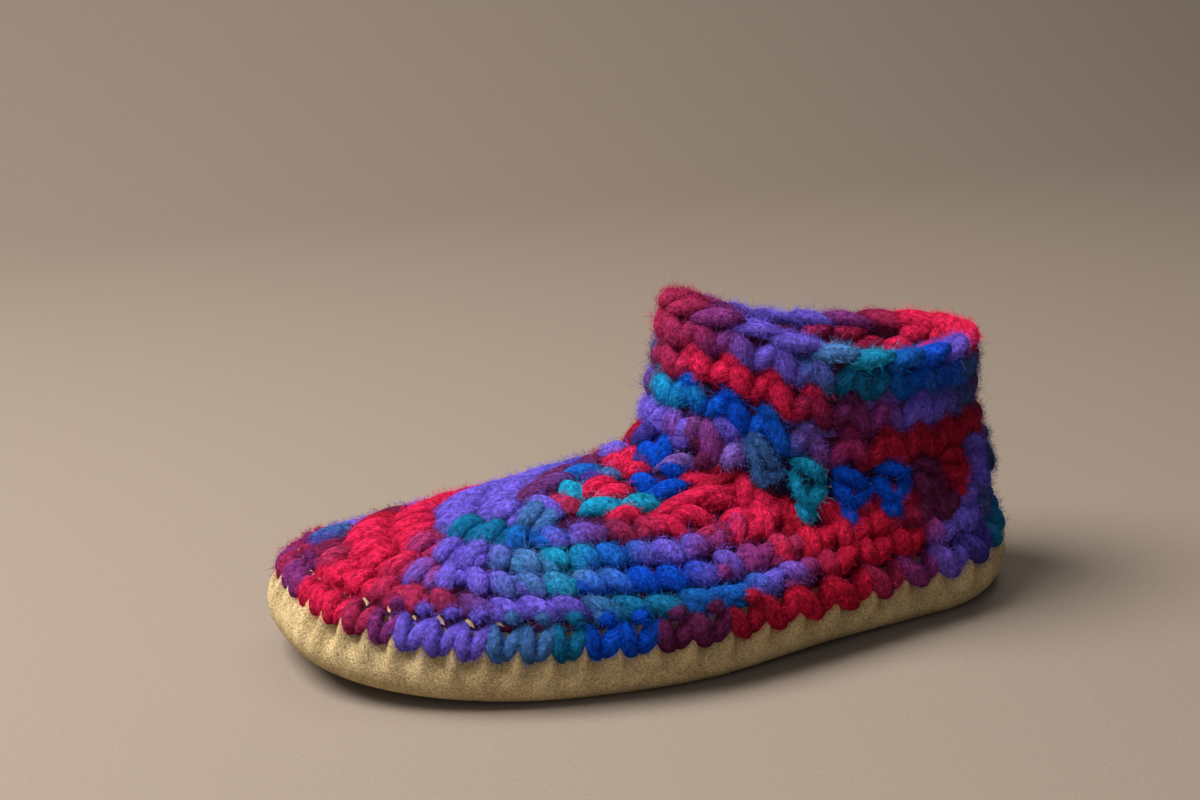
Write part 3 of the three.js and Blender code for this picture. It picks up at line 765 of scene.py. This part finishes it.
# Instep: larger, looser strands where the short rounds meet below the ankle, each as dye, half
# thickness and three points (place round the foot, way up). Most points were read off the photograph
# by eye and turned into these places by a scratch program; the last five rows are set by hand.
INSTEP = (
    ("violet", 4.2, (.56, 1.19), (.475, 1.58), (.40, 1.39)),
    ("indigo", 4.0, (.52, .98), (.49, 1.06), (.441, 1.32)),
    ("royal", 4.4, (.453, .97), (.425, .99), (.385, .96)),
    ("indigo", 3.6, (.455, .94), (.432, .96), (.392, .95)),
    ("royal", 4.0, (.394, 1.22), (.391, 1.0), (.385, .96)),
    ("violet", 4.3, (.381, 1.24), (.369, 1.73), (.338, 1.83)),
    ("violet", 3.6, (.383, 1.13), (.366, 1.31), (.351, 1.5)),
    ("lilac", 2.7, (.386, .99), (.357, 1.24), (.341, 1.11)),
    ("plum", 4.2, (.35, 1.37), (.33, 1.8), (.311, 1.77)),
    ("plum", 4.2, (.336, 1.13), (.323, 1.5), (.305, 1.72)),
    ("violet", 3.8, (.32, 2.05), (.31, 2.2), (.299, 2.0)),
    ("violet", 3.8, (.31, 2.1), (.301, 2.2), (.29, 2.0)),
    ("royal", 4.4, (.382, .96), (.374, 1.0), (.349, .99)),
    ("royal", 4.4, (.401, .89), (.404, .92), (.368, .89)),
    ("royal", 4.4, (.369, .86), (.355, .92), (.34, .97)),
    ("red", 4.2, (.52, .90), (.49, .94), (.441, .91)),
    ("red", 4.0, (.491, .96), (.456, .94), (.437, .91)),
    ("red", 4.0, (.425, .90), (.428, .93), (.395, .94)),
    ("red", 4.3, (.445, .79), (.469, .84), (.435, .87)),
    ("red", 4.3, (.426, .80), (.422, .85), (.393, .86)),
    ("blue", 4.4, (.533, .78), (.55, .84), (.51, .88)),
    ("turquoise", 4.4, (.523, .78), (.482, .79), (.444, .79)),
    ("steel", 3.6, (.473, .85), (.482, .89), (.435, .89)),
    ("turquoise", 4.3, (.426, .74), (.418, .80), (.385, .79)),
    ("turquoise", 4.3, (.386, .80), (.376, .86), (.351, .84)),
    ("raspberry", 4.3, (.487, .73), (.452, .74), (.423, .75)),
    ("red", 4.2, (.383, .73), (.385, .80), (.36, .77)),
    ("red", 3.8, (.349, .81), (.331, .97), (.286, 1.23)),
    ("red", 4.4, (.347, .76), (.336, .81), (.313, .72)),
    ("red", 4.4, (.334, .83), (.323, .91), (.30, .84)),
    ("red", 4.4, (.32, .94), (.305, 1.12), (.288, 1.02)),
    ("red", 4.0, (.289, 1.37), (.276, 1.41), (.278, 1.06)),
    ("red", 2.9, (.354, .98), (.331, .99), (.31, 1.18)),
    ("crimson", 2.9, (.323, 1.1), (.305, 1.45), (.288, 1.91)),
    ("crimson", 2.9, (.331, .97), (.309, 1.14), (.289, 1.49)),
    ("red", 4.2, (.276, 1.22), (.266, 1.33), (.252, 1.05)),
    ("red", 4.3, (.291, .90), (.281, 1.07), (.262, .91)),
    ("raspberry", 4.3, (.304, .73), (.295, .86), (.275, .76)),
    ("violet", 5.0, (.605, .91), (.57, .94), (.53, .95)),
    ("plum", 5.0, (.60, .85), (.565, .88), (.53, .89)),
    ("royal", 4.8, (.59, .79), (.56, .82), (.53, .83)),
    ("violet", 4.6, (.51, .70), (.475, .71), (.44, .70)),
    ("indigo", 4.6, (.50, .84), (.47, .85), (.44, .84)),
)
INSTEP_SINK = np.array([-3.6, -0.8, -3.6])
INSTEP_STRETCH, INSTEP_FULLNESS = 1.2, 0.88
FAR_DYES = {"red": "violet", "royal": "crimson", "violet": "blue", "turquoise": "blue", "plum": "violet"}
NEAR_SIDE_END = 0.45


def laid_on_upper(strands):
    places = np.array([points for _, _, *points in strands])
    places = places[:, 1:2] + INSTEP_STRETCH * (places - places[:, 1:2])
    a, v = places[..., 0], places[..., 1]
    out = outward(upper_point, a, v)
    dye = np.array([DYES[name] for name, *_ in strands])
    radius = INSTEP_FULLNESS * np.array([radius for _, radius, *_ in strands])
    return {"path": upper_point(a, v) + INSTEP_SINK[:, None] * out, "out": out[:, 1], "radius": radius,
            "dye": np.stack([dye, dye], 1)}


far_side = [(FAR_DYES.get(dye, dye), radius, *[(1 - a, v) for a, v in points])
            for dye, radius, *points in INSTEP if max(a for a, _ in points) < NEAR_SIDE_END]
instep_strands = laid_on_upper(INSTEP + tuple(far_side))
instep_stitches = strand_piece("instep_stitches", instep_strands, wool)
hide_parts("upper")

# Binding: a round of fat yarn loops that lash the crochet to the suede. Each loop comes out
# of a punched hole and its two legs part upwards over the edge, with a small tuft of wool
# above the notch along the side and toe. Points are (loops along, millimetres up, out).
LOOP_FALL = 9.0
FIRST_ROUND_HEIGHT, LAP = 9.0, 3.0
HEEL_LOOP_LEG = ((-0.84, 2.4, -2.4), (-0.40, -2.4, 3.2), (0.14, -LOOP_FALL + 0.2, 0.2))
HEEL_LOOP_BACK_LEG = ((0.16, 4.6, -2.8), (0.38, -0.6, 2.2), (0.20, -LOOP_FALL + 1.4, -0.2))
LOOP_LEG = ((-0.54, 5.4, -3.0), (-0.33, -1.8, 3.2), (-0.03, -LOOP_FALL + 0.2, 0.0))
LOOP_BACK_LEG = ((0.52, 5.4, -3.2), (0.36, -1.6, 2.8), (0.07, -LOOP_FALL + 0.8, -0.2))
HEEL_LOOP_SHARE, LOOP_SHARE, BACK_LOOP_SHARE = 0.3, 0.325, 0.91
HEEL_LOOPS_END, HEEL_LOOPS_PASSAGE = 0.22, 0.06
TUFT = ((-0.17, 4.6, -0.8), (0.0, 7.2, 1.0), (0.17, 5.0, -1.2))
TUFT_SIZE, TUFTS_FROM = 2.2, 0.25
LOOP_SLACK, LOOP_RUN_ON, LOOP_STRAY = 0.03, 0.3, 0.1
BINDING = chart("3 red, 1 raspberry, 1 mauve, 3 violet, 2 steel, 1 teal, 2 royal, 2 plum, 1 crimson,"
                "3 ruby, 1 raspberry, 1 mauve, 1 violet, 1 indigo, 2 teal, 2 royal, 1 violet, 1 plum,"
                "1 crimson, 3 red, 1 raspberry, 2 violet, 1 lilac, 2 steel, 1 teal, 2 blue, 1 royal,"
                "1 indigo, 1 plum, 1 crimson, 1 red, 1 raspberry, 1 mauve, 1 raspberry, 2 mauve")


def binding_place(s, h):
    """The edge of the suede as (loops, millimetres above it); above it lies the first round."""
    at = loop_place(LOOPS / 2 - s)
    height = edge_height(outline_point(at, 0)[0])
    on_suede = wall_point(at, np.minimum(1 + h / height, 1.0), 0.0)
    on_wool = drawn_in(at, round_share_up(at, np.maximum(h, 0) / FIRST_ROUND_HEIGHT))
    return blend(on_suede, on_wool, np.clip(h / LAP, 0, 1)[..., None])


loop_middles = np.arange(LOOPS) + 0.5
loop_fold = folded(loop_place(LOOPS / 2 - loop_middles))
to_front = np.clip((loop_fold - HEEL_LOOPS_END) / HEEL_LOOPS_PASSAGE, 0, 1)
loop_size = HEEL_LOOP_SHARE + (LOOP_SHARE - HEEL_LOOP_SHARE) * to_front
loop_size = loop_size * np.interp(loop_fold, *zip(*LOOP_PITCH))
to_front = to_front[:, None, None]
front_leg = blend(HEEL_LOOP_LEG, LOOP_LEG, to_front)
back_leg = blend(HEEL_LOOP_BACK_LEG, LOOP_BACK_LEG, to_front)
binding_strands = together(
    legs(binding_place, loop_middles, BINDING, front_leg, loop_size, LOOP_SLACK, LOOP_RUN_ON, LOOP_STRAY),
    legs(binding_place, loop_middles, BINDING, back_leg, BACK_LOOP_SHARE * loop_size, LOOP_SLACK,
         LOOP_RUN_ON, LOOP_STRAY),
    legs(binding_place, loop_middles[loop_fold > TUFTS_FROM], BINDING, TUFT, TUFT_SIZE, LOOP_SLACK,
         LOOP_RUN_ON))
binding_loops = strand_piece("binding_loops", binding_strands, wool)
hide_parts("binding_round")

# Ankle: one round of tall double crochet. Each post has a head that lies across its top and
# two strands that cross on the way down; between the posts the fabric is open. Points are
# (posts along, share of the height, millimetres out), and the last strand lies behind.
POSTS = 22
POST_STRANDS = (
    (((-0.46, 0.90, -1.6), (0.02, 1.06, 2.0), (0.46, 0.62, -0.8)), 2.5),
    (((-0.36, 0.80, -1.6), (-0.30, 0.42, 1.8), (0.12, 0.02, 0.2)), 2.5),
    (((0.44, 0.66, -1.6), (0.30, 0.30, 1.0), (-0.10, 0.06, -1.4)), 2.4),
    (((-0.22, 0.26, -1.6), (-0.08, 0.04, 1.6), (0.12, -0.18, -1.0)), 2.6),
    (((-0.02, 0.96, -4.8), (0.06, 0.50, -4.0), (0.0, 0.02, -4.8)), 2.6),
)
POST_WIDTH, POST_REACH, POST_MIDDLE = 0.92, 0.95, 0.55
POST_RAISE, FRONT_POST_RAISE = 0.1, 0.3
FRONT_POSTS_FROM, FRONT_POSTS_PASSAGE = 0.235, 0.03
FIRST_POST, POSTS_LEFT_OUT = 2, 5
END_POST_HEIGHT, END_POST_GIRTH = 0.62, 0.66
POST_RUN_ON, POST_STRAY = 0.1, 0.05
LOWEST = 0.05
RING_SAMPLES = 900
POST_DYES = chart("2 violet, 1 steel, 1 turquoise, 2 royal, 1 plum, 1 crimson, 1 violet, 1 slate,"
                  "1 teal, 1 blue, 1 royal, 1 violet, 2 plum, 1 crimson, 1 red, 1 raspberry, 3 violet")
a_ring = np.linspace(0.5, -0.5, RING_SAMPLES)


def ring_by_length(level, count):
    """Places round the ankle by length along the round, in stitches from the front."""
    points = cuff_point(a_ring, np.full_like(a_ring, level))
    run = np.append(0, np.cumsum(np.linalg.norm(np.diff(points, axis=0), axis=1)))
    return run / run[-1] * count


post_run = ring_by_length(POSTS_TOP / 2, POSTS)


def post_place(s, h):
    """The ankle as (posts, share of their height); the posts in front stand higher."""
    at = np.interp(np.mod(s + 0.5, POSTS), post_run, a_ring)
    to_front = np.clip((np.abs(at) - FRONT_POSTS_FROM) / FRONT_POSTS_PASSAGE, 0, 1)
    raised = POST_RAISE + FRONT_POST_RAISE * to_front
    return upper_point(at, np.maximum(1 + raised + POST_REACH * h, LOWEST))


post_middles = FIRST_POST + np.arange(POSTS - POSTS_LEFT_OUT) + 0.5
post_height, post_girth = np.ones(len(post_middles)), np.ones(len(post_middles))
post_height[[0, -1]], post_girth[[0, -1]] = END_POST_HEIGHT, END_POST_GIRTH


def post_path(path):
    points = np.repeat(np.array(path)[None], len(post_middles), 0) * (POST_WIDTH, 1, 1)
    points[..., 1] = POST_MIDDLE + (points[..., 1] - POST_MIDDLE) * post_height[:, None]
    return points


post_strands = together(*[legs(post_place, post_middles, POST_DYES, post_path(path), radius * post_girth,
                               run_on=POST_RUN_ON, stray=POST_STRAY) for path, radius in POST_STRANDS])
ankle_posts = strand_piece("ankle_posts", post_strands, wool)
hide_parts("upper")

# Cuff: three rounds of single crochet above the posts, with full, heart-like stitches outside
# and the plain bars of their backs inside. A few stitches close the front below them.
CUFF_STITCHES = 22
ROUND_HEIGHT = (1 - POSTS_TOP) / 3
HEART_LEG = ((-0.60, 0.44, -3.4), (-0.30, 0.14, -0.2), (0.04, -0.52, -3.0))
HEART_BACK_LEG = ((0.58, 0.44, -3.6), (0.30, 0.12, -0.4), (0.02, -0.48, -3.4))
PEAK = ((0.28, 0.38, -3.0), (0.48, 0.74, -0.6), (0.68, 0.40, -3.0))
BACK_BAR = ((-0.64, 0.34, -4.4), (0.0, 0.46, -6.6), (0.64, 0.18, -4.4))
LOW_BACK_BAR = ((-0.64, -0.14, -4.4), (0.0, -0.02, -6.2), (0.64, -0.30, -4.4))
HEART_SIZE, HEART_BACK_SIZE, PEAK_SIZE = 3.8, 3.6, 2.5
BACK_BAR_SIZE, LOW_BACK_BAR_SIZE = 4.2, 4.0
CUFF_SLACK = 0.045
STEEP_REACH, STEEP_FROM, STEEP_TO = 0.74, 1, 4
FRONT_LEVEL, FRONT_SIZE, FRONT_BACK_SIZE = 0.2, 4.0, 3.8
CUFF_CHARTS = (
    chart("1 turquoise, 2 royal, 1 blue, 1 mauve, 5 crimson, 2 plum, 2 violet, 2 slate, 2 teal,"
          "2 blue, 1 violet, 1 plum"),
    chart("1 raspberry, 3 red, 1 plum, 1 mauve, 2 violet, 2 slate, 2 crimson, 2 red, 2 raspberry,"
          "2 plum, 2 violet, 1 steel, 1 plum"),
    chart("1 raspberry, 1 mauve, 2 violet, 2 teal, 1 blue, 1 royal, 1 steel, 1 slate, 2 crimson, 2 red,"
          "2 raspberry, 2 plum, 2 violet, 2 raspberry"),
)
FRONT_CHART = chart("1 violet, 1 mauve, 1 lilac, 1 violet")


def cuff_round(level):
    """The face of the cuff as (stitches, rounds) about a level."""
    run = ring_by_length(level, CUFF_STITCHES)

    def place(s, h):
        at = np.interp(np.mod(s, CUFF_STITCHES), run, a_ring)
        return cuff_point(at, level + h * ROUND_HEIGHT)

    return place


cuff_strands, inside_strands = [], []
middles = np.arange(CUFF_STITCHES) + 0.5
from_front = np.minimum(middles, CUFF_STITCHES - middles)
for number, dyes in enumerate(CUFF_CHARTS):
    place = cuff_round(POSTS_TOP + (number + 0.5) * ROUND_HEIGHT)
    steep = (number == 0) & (from_front > STEEP_FROM) & (from_front < STEEP_TO)
    reach = np.where(steep, STEEP_REACH, 1.0)[:, None, None] * (0, 1, 0) + (1, 0, 1)
    for path, radius in ((HEART_LEG, HEART_SIZE), (HEART_BACK_LEG, HEART_BACK_SIZE), (PEAK, PEAK_SIZE)):
        cuff_strands.append(legs(place, middles, dyes, path * reach, radius, CUFF_SLACK))
    inside_strands.append(legs(place, middles, dyes, BACK_BAR, BACK_BAR_SIZE))
    inside_strands.append(legs(place, middles + 0.5, dyes, LOW_BACK_BAR, LOW_BACK_BAR_SIZE))
front_middles = np.arange(-2, 3)
for path, radius in ((HEART_LEG, FRONT_SIZE), (HEART_BACK_LEG, FRONT_BACK_SIZE)):
    cuff_strands.append(legs(cuff_round(FRONT_LEVEL), front_middles, FRONT_CHART, path, radius))
cuff_rounds = strand_piece("cuff_rounds", together(*cuff_strands), wool)
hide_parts("upper")
cuff_inside = strand_piece("cuff_inside", together(*inside_strands), wool)
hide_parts("upper")

# Rim: the tops of the last round lie along the collar as a braid of lens-shaped links, one
# row of loops to the outside and one to the inside. Points are (links along, outward, up).
LINKS = 22
OUTER_LINK = ((-0.76, 1.6, -0.2), (0.0, 2.6, 3.4), (0.72, 0.0, 3.4))
INNER_LINK = ((-0.76, -1.6, -0.2), (0.0, -2.6, 3.4), (0.72, 0.0, 3.4))
OUTER_LINK_SIZE, INNER_LINK_SIZE, LINK_SIZE_SPREAD = 3.2, 3.1, 0.06
LINK_SHAKE = (0.03, 0.25, 0.25)
LINK_ROLL, LINK_RUN, LINK_STEP = 0.6, 0.3, 0.1
LINK_DYES = chart("1 raspberry, 1 mauve, 2 violet, 1 sky, 1 turquoise, 1 blue, 1 royal, 1 violet, 4 red,"
                  "1 raspberry, 1 mauve, 3 violet, 1 mauve, 3 raspberry")
link_run = ring_by_length(1.0, LINKS)


def rim_point(s):
    at = np.interp(np.mod(s, LINKS), link_run, a_ring)
    return cuff_point(at, np.ones_like(at))


def link_strands(path, radius):
    """Links along the rim, each turned a little to the side that its path bends to."""
    s0 = np.arange(LINKS) + 0.5
    local = np.broadcast_to(np.asarray(path, float), (LINKS, 3, 3))
    local = local + yarn_rng.standard_normal((LINKS, 3, 3)) * LINK_SHAKE
    s = s0[:, None] + local[..., 0]
    along = rim_point(s + LINK_STEP) - rim_point(s - LINK_STEP)
    out = unit(np.stack([along[..., 1], -along[..., 0], 0 * along[..., 0]], -1))
    points = rim_point(s) + out * (local[..., 1:2] - WALL / 2)
    points[..., 2] += local[..., 2]
    ends = np.stack([s0 - LINK_RUN, s0 + LINK_RUN], 1)
    return {"path": points, "out": (0, 0, 1) + LINK_ROLL * out[:, 1] * np.sign(path[1][1]),
            "radius": radius * (1 + LINK_SIZE_SPREAD * yarn_rng.standard_normal(LINKS)),
            "dye": LINK_DYES(ends)}


rim_strands = together(link_strands(OUTER_LINK, OUTER_LINK_SIZE), link_strands(INNER_LINK, INNER_LINK_SIZE))
collar_links = strand_piece("collar_links", rim_strands, wool)
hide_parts("collar_chain")

# Halo: the wool is loosely spun, so short fibres stand off every strand as a nap, and fewer,
# longer ones stray from it in a bend. Each is a thin sliver in the dye of its strand.
FIBRE_WIDTH, LONG_FIBRE_WIDTH = 0.1, 0.08
ROOT_END, ROOT_SWING, ROOT_DEPTH = 0.04, 1.9, 0.95
SHORTEST_SHARE = 0.3
NAP_LIFT, NAP_STRAY = 0.7, 0.5
HALO_LIFT, HALO_STRAY, HALO_LENGTH_POWER = (0.2, 0.9), 0.35, 1.5
HALO_BEND, HALO_DROP, HALO_TIP = 0.5, 0.25, 0.45
FOOT_NAP, ANKLE_NAP = (190, 2.4), (260, 2.6)
FOOT_HALO, ANKLE_HALO = (22, 5.5), (40, 6.5)
halo_rng = np.random.default_rng(5)

stray_wool = Finish("stray_fibres", roughness=1.0, gloss=0.02)
dye_mark = stray_wool.add("ShaderNodeAttribute", attribute_name="dye")
tone = stray_wool.spread(stray_wool.noise(stray_wool.place, 300), 0, 1, 0.7, 1.3)
stray_wool.cover(stray_wool.shaded(dye_mark, tone))


def fibre_roots(strands, each):
    """Points on the outer half of every strand, with the ways out and along, and the dye."""
    count = len(strands["path"])
    t = halo_rng.uniform(ROOT_END, 1 - ROOT_END, (count, each))
    middle, run, side, top = strand_frame(strands, t)
    swing = halo_rng.uniform(-ROOT_SWING, ROOT_SWING, (count, each, 1))
    out = np.sin(swing) * side + np.cos(swing) * top
    root = middle + out * strand_round(strands, 2 * t - 1)[..., None] * ROOT_DEPTH
    dye = np.clip(strand_dye(strands, t[..., None]), 0, 1)
    return [part.reshape(-1, 3) for part in (root, out, run, dye)]


def short_fibres(name, strands, each, longest):
    """Short fibres, one thin triangle each."""
    root, out, run, dye = fibre_roots(strands, each)
    one_each = (len(root), 1)
    way = unit(run * halo_rng.uniform(-1, 1, one_each) + NAP_LIFT * out
               + NAP_STRAY * halo_rng.standard_normal(root.shape))
    across = unit(np.cross(way, halo_rng.standard_normal(root.shape))) * FIBRE_WIDTH
    length = longest * halo_rng.uniform(SHORTEST_SHARE, 1.0, one_each)
    points = np.stack([root - across / 2, root + across / 2, root + way * length], 1)
    faces = np.arange(len(points) * 3).reshape(-1, 3).tolist()
    return piece(dyed_mesh(name, points, faces, np.repeat(dye, 3, 0)), stray_wool)


def long_fibres(name, strands, each, longest):
    """Long stray fibres with a bend in the middle."""
    root, out, run, dye = fibre_roots(strands, each)
    one_each = (len(root), 1)
    way = unit(run * halo_rng.uniform(-1, 1, one_each) + out * halo_rng.uniform(*HALO_LIFT, one_each)
               + HALO_STRAY * halo_rng.standard_normal(root.shape))
    length = longest * halo_rng.uniform(SHORTEST_SHARE, 1.0, one_each) ** HALO_LENGTH_POWER
    middle = root + way * length * 0.5
    bend = way + HALO_BEND * halo_rng.standard_normal(root.shape) - HALO_DROP * out
    tip = middle + bend * length * HALO_TIP
    across = unit(np.cross(way, halo_rng.standard_normal(root.shape))) * LONG_FIBRE_WIDTH / 2
    points = np.stack([root - across, root + across, middle - across, middle + across, tip], 1)
    first = 5 * np.arange(len(points))[:, None]
    faces = (first + [0, 1, 3, 2]).tolist() + (first + [2, 3, 4]).tolist()
    return piece(dyed_mesh(name, points, faces, np.repeat(dye, 5, 0)), stray_wool)


foot_wool = together(foot_strands, vamp_strands, instep_strands, binding_strands)
ankle_wool = together(*cuff_strands, rim_strands, post_strands)
short_fibres("foot_nap", foot_wool, *FOOT_NAP)
short_fibres("ankle_nap", ankle_wool, *ANKLE_NAP)
long_fibres("foot_halo", foot_wool, *FOOT_HALO)
long_fibres("ankle_halo", ankle_wool, *ANKLE_HALO)

# Studio: a taupe cloth that lies under the slipper and sweeps up behind it, in the light of a
# large soft key, a weak fill and one lamp on the backdrop. Its sizes are in metres. The camera
# stands where the photograph was taken, and its aim is off the middle of the picture.
FLOOR_HALF = 2.2
SWEEP_BACK_Y, SWEEP_RADIUS, SWEEP_TOP, SWEEP_STEPS = -0.75, 0.5, 1.8, 16
TAUPE_DARK, TAUPE_LIGHT = (0.22, 0.178, 0.144), (0.27, 0.219, 0.178)
WARM_WHITE, SOFT_WHITE, COOL_WHITE = (1.0, 0.97, 0.93), (1.0, 0.98, 0.95), (0.92, 0.95, 1.0)
ON_SLIPPER, ON_BACKDROP = (0.0, 0.0, 0.05), (-0.3, -1.25, 0.7)
ROOM_LIGHT = 0.12
CAMERA_AZIMUTH, CAMERA_ELEVATION = math.radians(155.53), math.radians(16.79)
CAMERA_DISTANCE, CAMERA_AIM = 707.46, (0.0, 0.0, 45.0)
FRAME_WIDTH, FOCAL_PIXELS = 1200, 2200
AIM_PIXELS_RIGHT, AIM_PIXELS_DOWN = 57.49, 78.93

sweep_bm = bmesh.new()
bmesh.ops.create_grid(sweep_bm, x_segments=1, y_segments=1, size=FLOOR_HALF)
back_edge = [edge for edge in sweep_bm.edges if all(vert.co.y < 0 for vert in edge.verts)]
for vert in back_edge[0].verts:
    vert.co.y = SWEEP_BACK_Y
bmesh.ops.spin(sweep_bm, geom=back_edge, cent=(0, SWEEP_BACK_Y, SWEEP_RADIUS), axis=(1, 0, 0),
               angle=-math.pi / 2, steps=SWEEP_STEPS, use_merge=False, use_duplicate=False)
top_edge = [edge for edge in sweep_bm.edges if edge.is_boundary
            and all(vert.co.z > SWEEP_RADIUS * 0.99 for vert in edge.verts)]
risen = bmesh.ops.extrude_edge_only(sweep_bm, edges=top_edge)["geom"]
for part in risen:
    if isinstance(part, bmesh.types.BMVert):
        part.co.z = SWEEP_TOP
bmesh.ops.recalc_face_normals(sweep_bm, faces=sweep_bm.faces)
sweep_mesh = bpy.data.meshes.new("cloth_sweep")
sweep_bm.to_mesh(sweep_mesh)
sweep_bm.free()
sweep_mesh.shade_smooth()
taupe = Finish("taupe_cloth", roughness=1.0, gloss=0.1)
taupe.cover(taupe.ramp(taupe.noise(taupe.place, 700, 2), (0, TAUPE_DARK), (1, TAUPE_LIGHT)))
sweep_mesh.materials.append(taupe.material)
cloth_sweep = bpy.data.objects.new("cloth_sweep", sweep_mesh)
bpy.context.scene.collection.objects.link(cloth_sweep)


def soft_light(name, place, aim, size, power, colour):
    light = bpy.data.lights.new(name, "AREA")
    light.shape, light.size, light.energy, light.color = "DISK", size, power, colour
    obj = bpy.data.objects.new(name, light)
    obj.location = place
    obj.rotation_euler = (Vector(aim) - Vector(place)).to_track_quat("-Z", "Y").to_euler()
    bpy.context.scene.collection.objects.link(obj)


soft_light("key", (0.66, -0.12, 1.05), ON_SLIPPER, size=0.9, power=31, colour=WARM_WHITE)
soft_light("fill", (0.7, 0.95, 0.55), ON_SLIPPER, size=0.8, power=2.6, colour=SOFT_WHITE)
soft_light("backdrop", (-0.5, -0.35, 1.5), ON_BACKDROP, size=0.9, power=7.6, colour=WARM_WHITE)
world = bpy.data.worlds.new("studio")
bpy.context.scene.world = world
world.use_nodes = True
world.node_tree.nodes["Background"].inputs["Color"].default_value = (*COOL_WHITE, 1)
world.node_tree.nodes["Background"].inputs["Strength"].default_value = ROOM_LIGHT
bpy.context.scene.view_settings.view_transform = "Standard"

back = Vector((math.sin(CAMERA_AZIMUTH) * math.cos(CAMERA_ELEVATION),
               -math.cos(CAMERA_AZIMUTH) * math.cos(CAMERA_ELEVATION), math.sin(CAMERA_ELEVATION)))
camera = bpy.data.cameras.new("camera")
camera.lens = camera.sensor_width * FOCAL_PIXELS / FRAME_WIDTH
camera.shift_x = -AIM_PIXELS_RIGHT / FRAME_WIDTH
camera.shift_y = AIM_PIXELS_DOWN / FRAME_WIDTH
camera.clip_start, camera.clip_end = 0.01, 50.0
camera_object = bpy.data.objects.new("camera", camera)
camera_object.location = Vector(in_frame(CAMERA_AIM)) + back * CAMERA_DISTANCE * MILLIMETRE
camera_object.rotation_euler = back.to_track_quat("Z", "Y").to_euler()
bpy.context.scene.collection.objects.link(camera_object)
bpy.context.scene.camera = camera_object
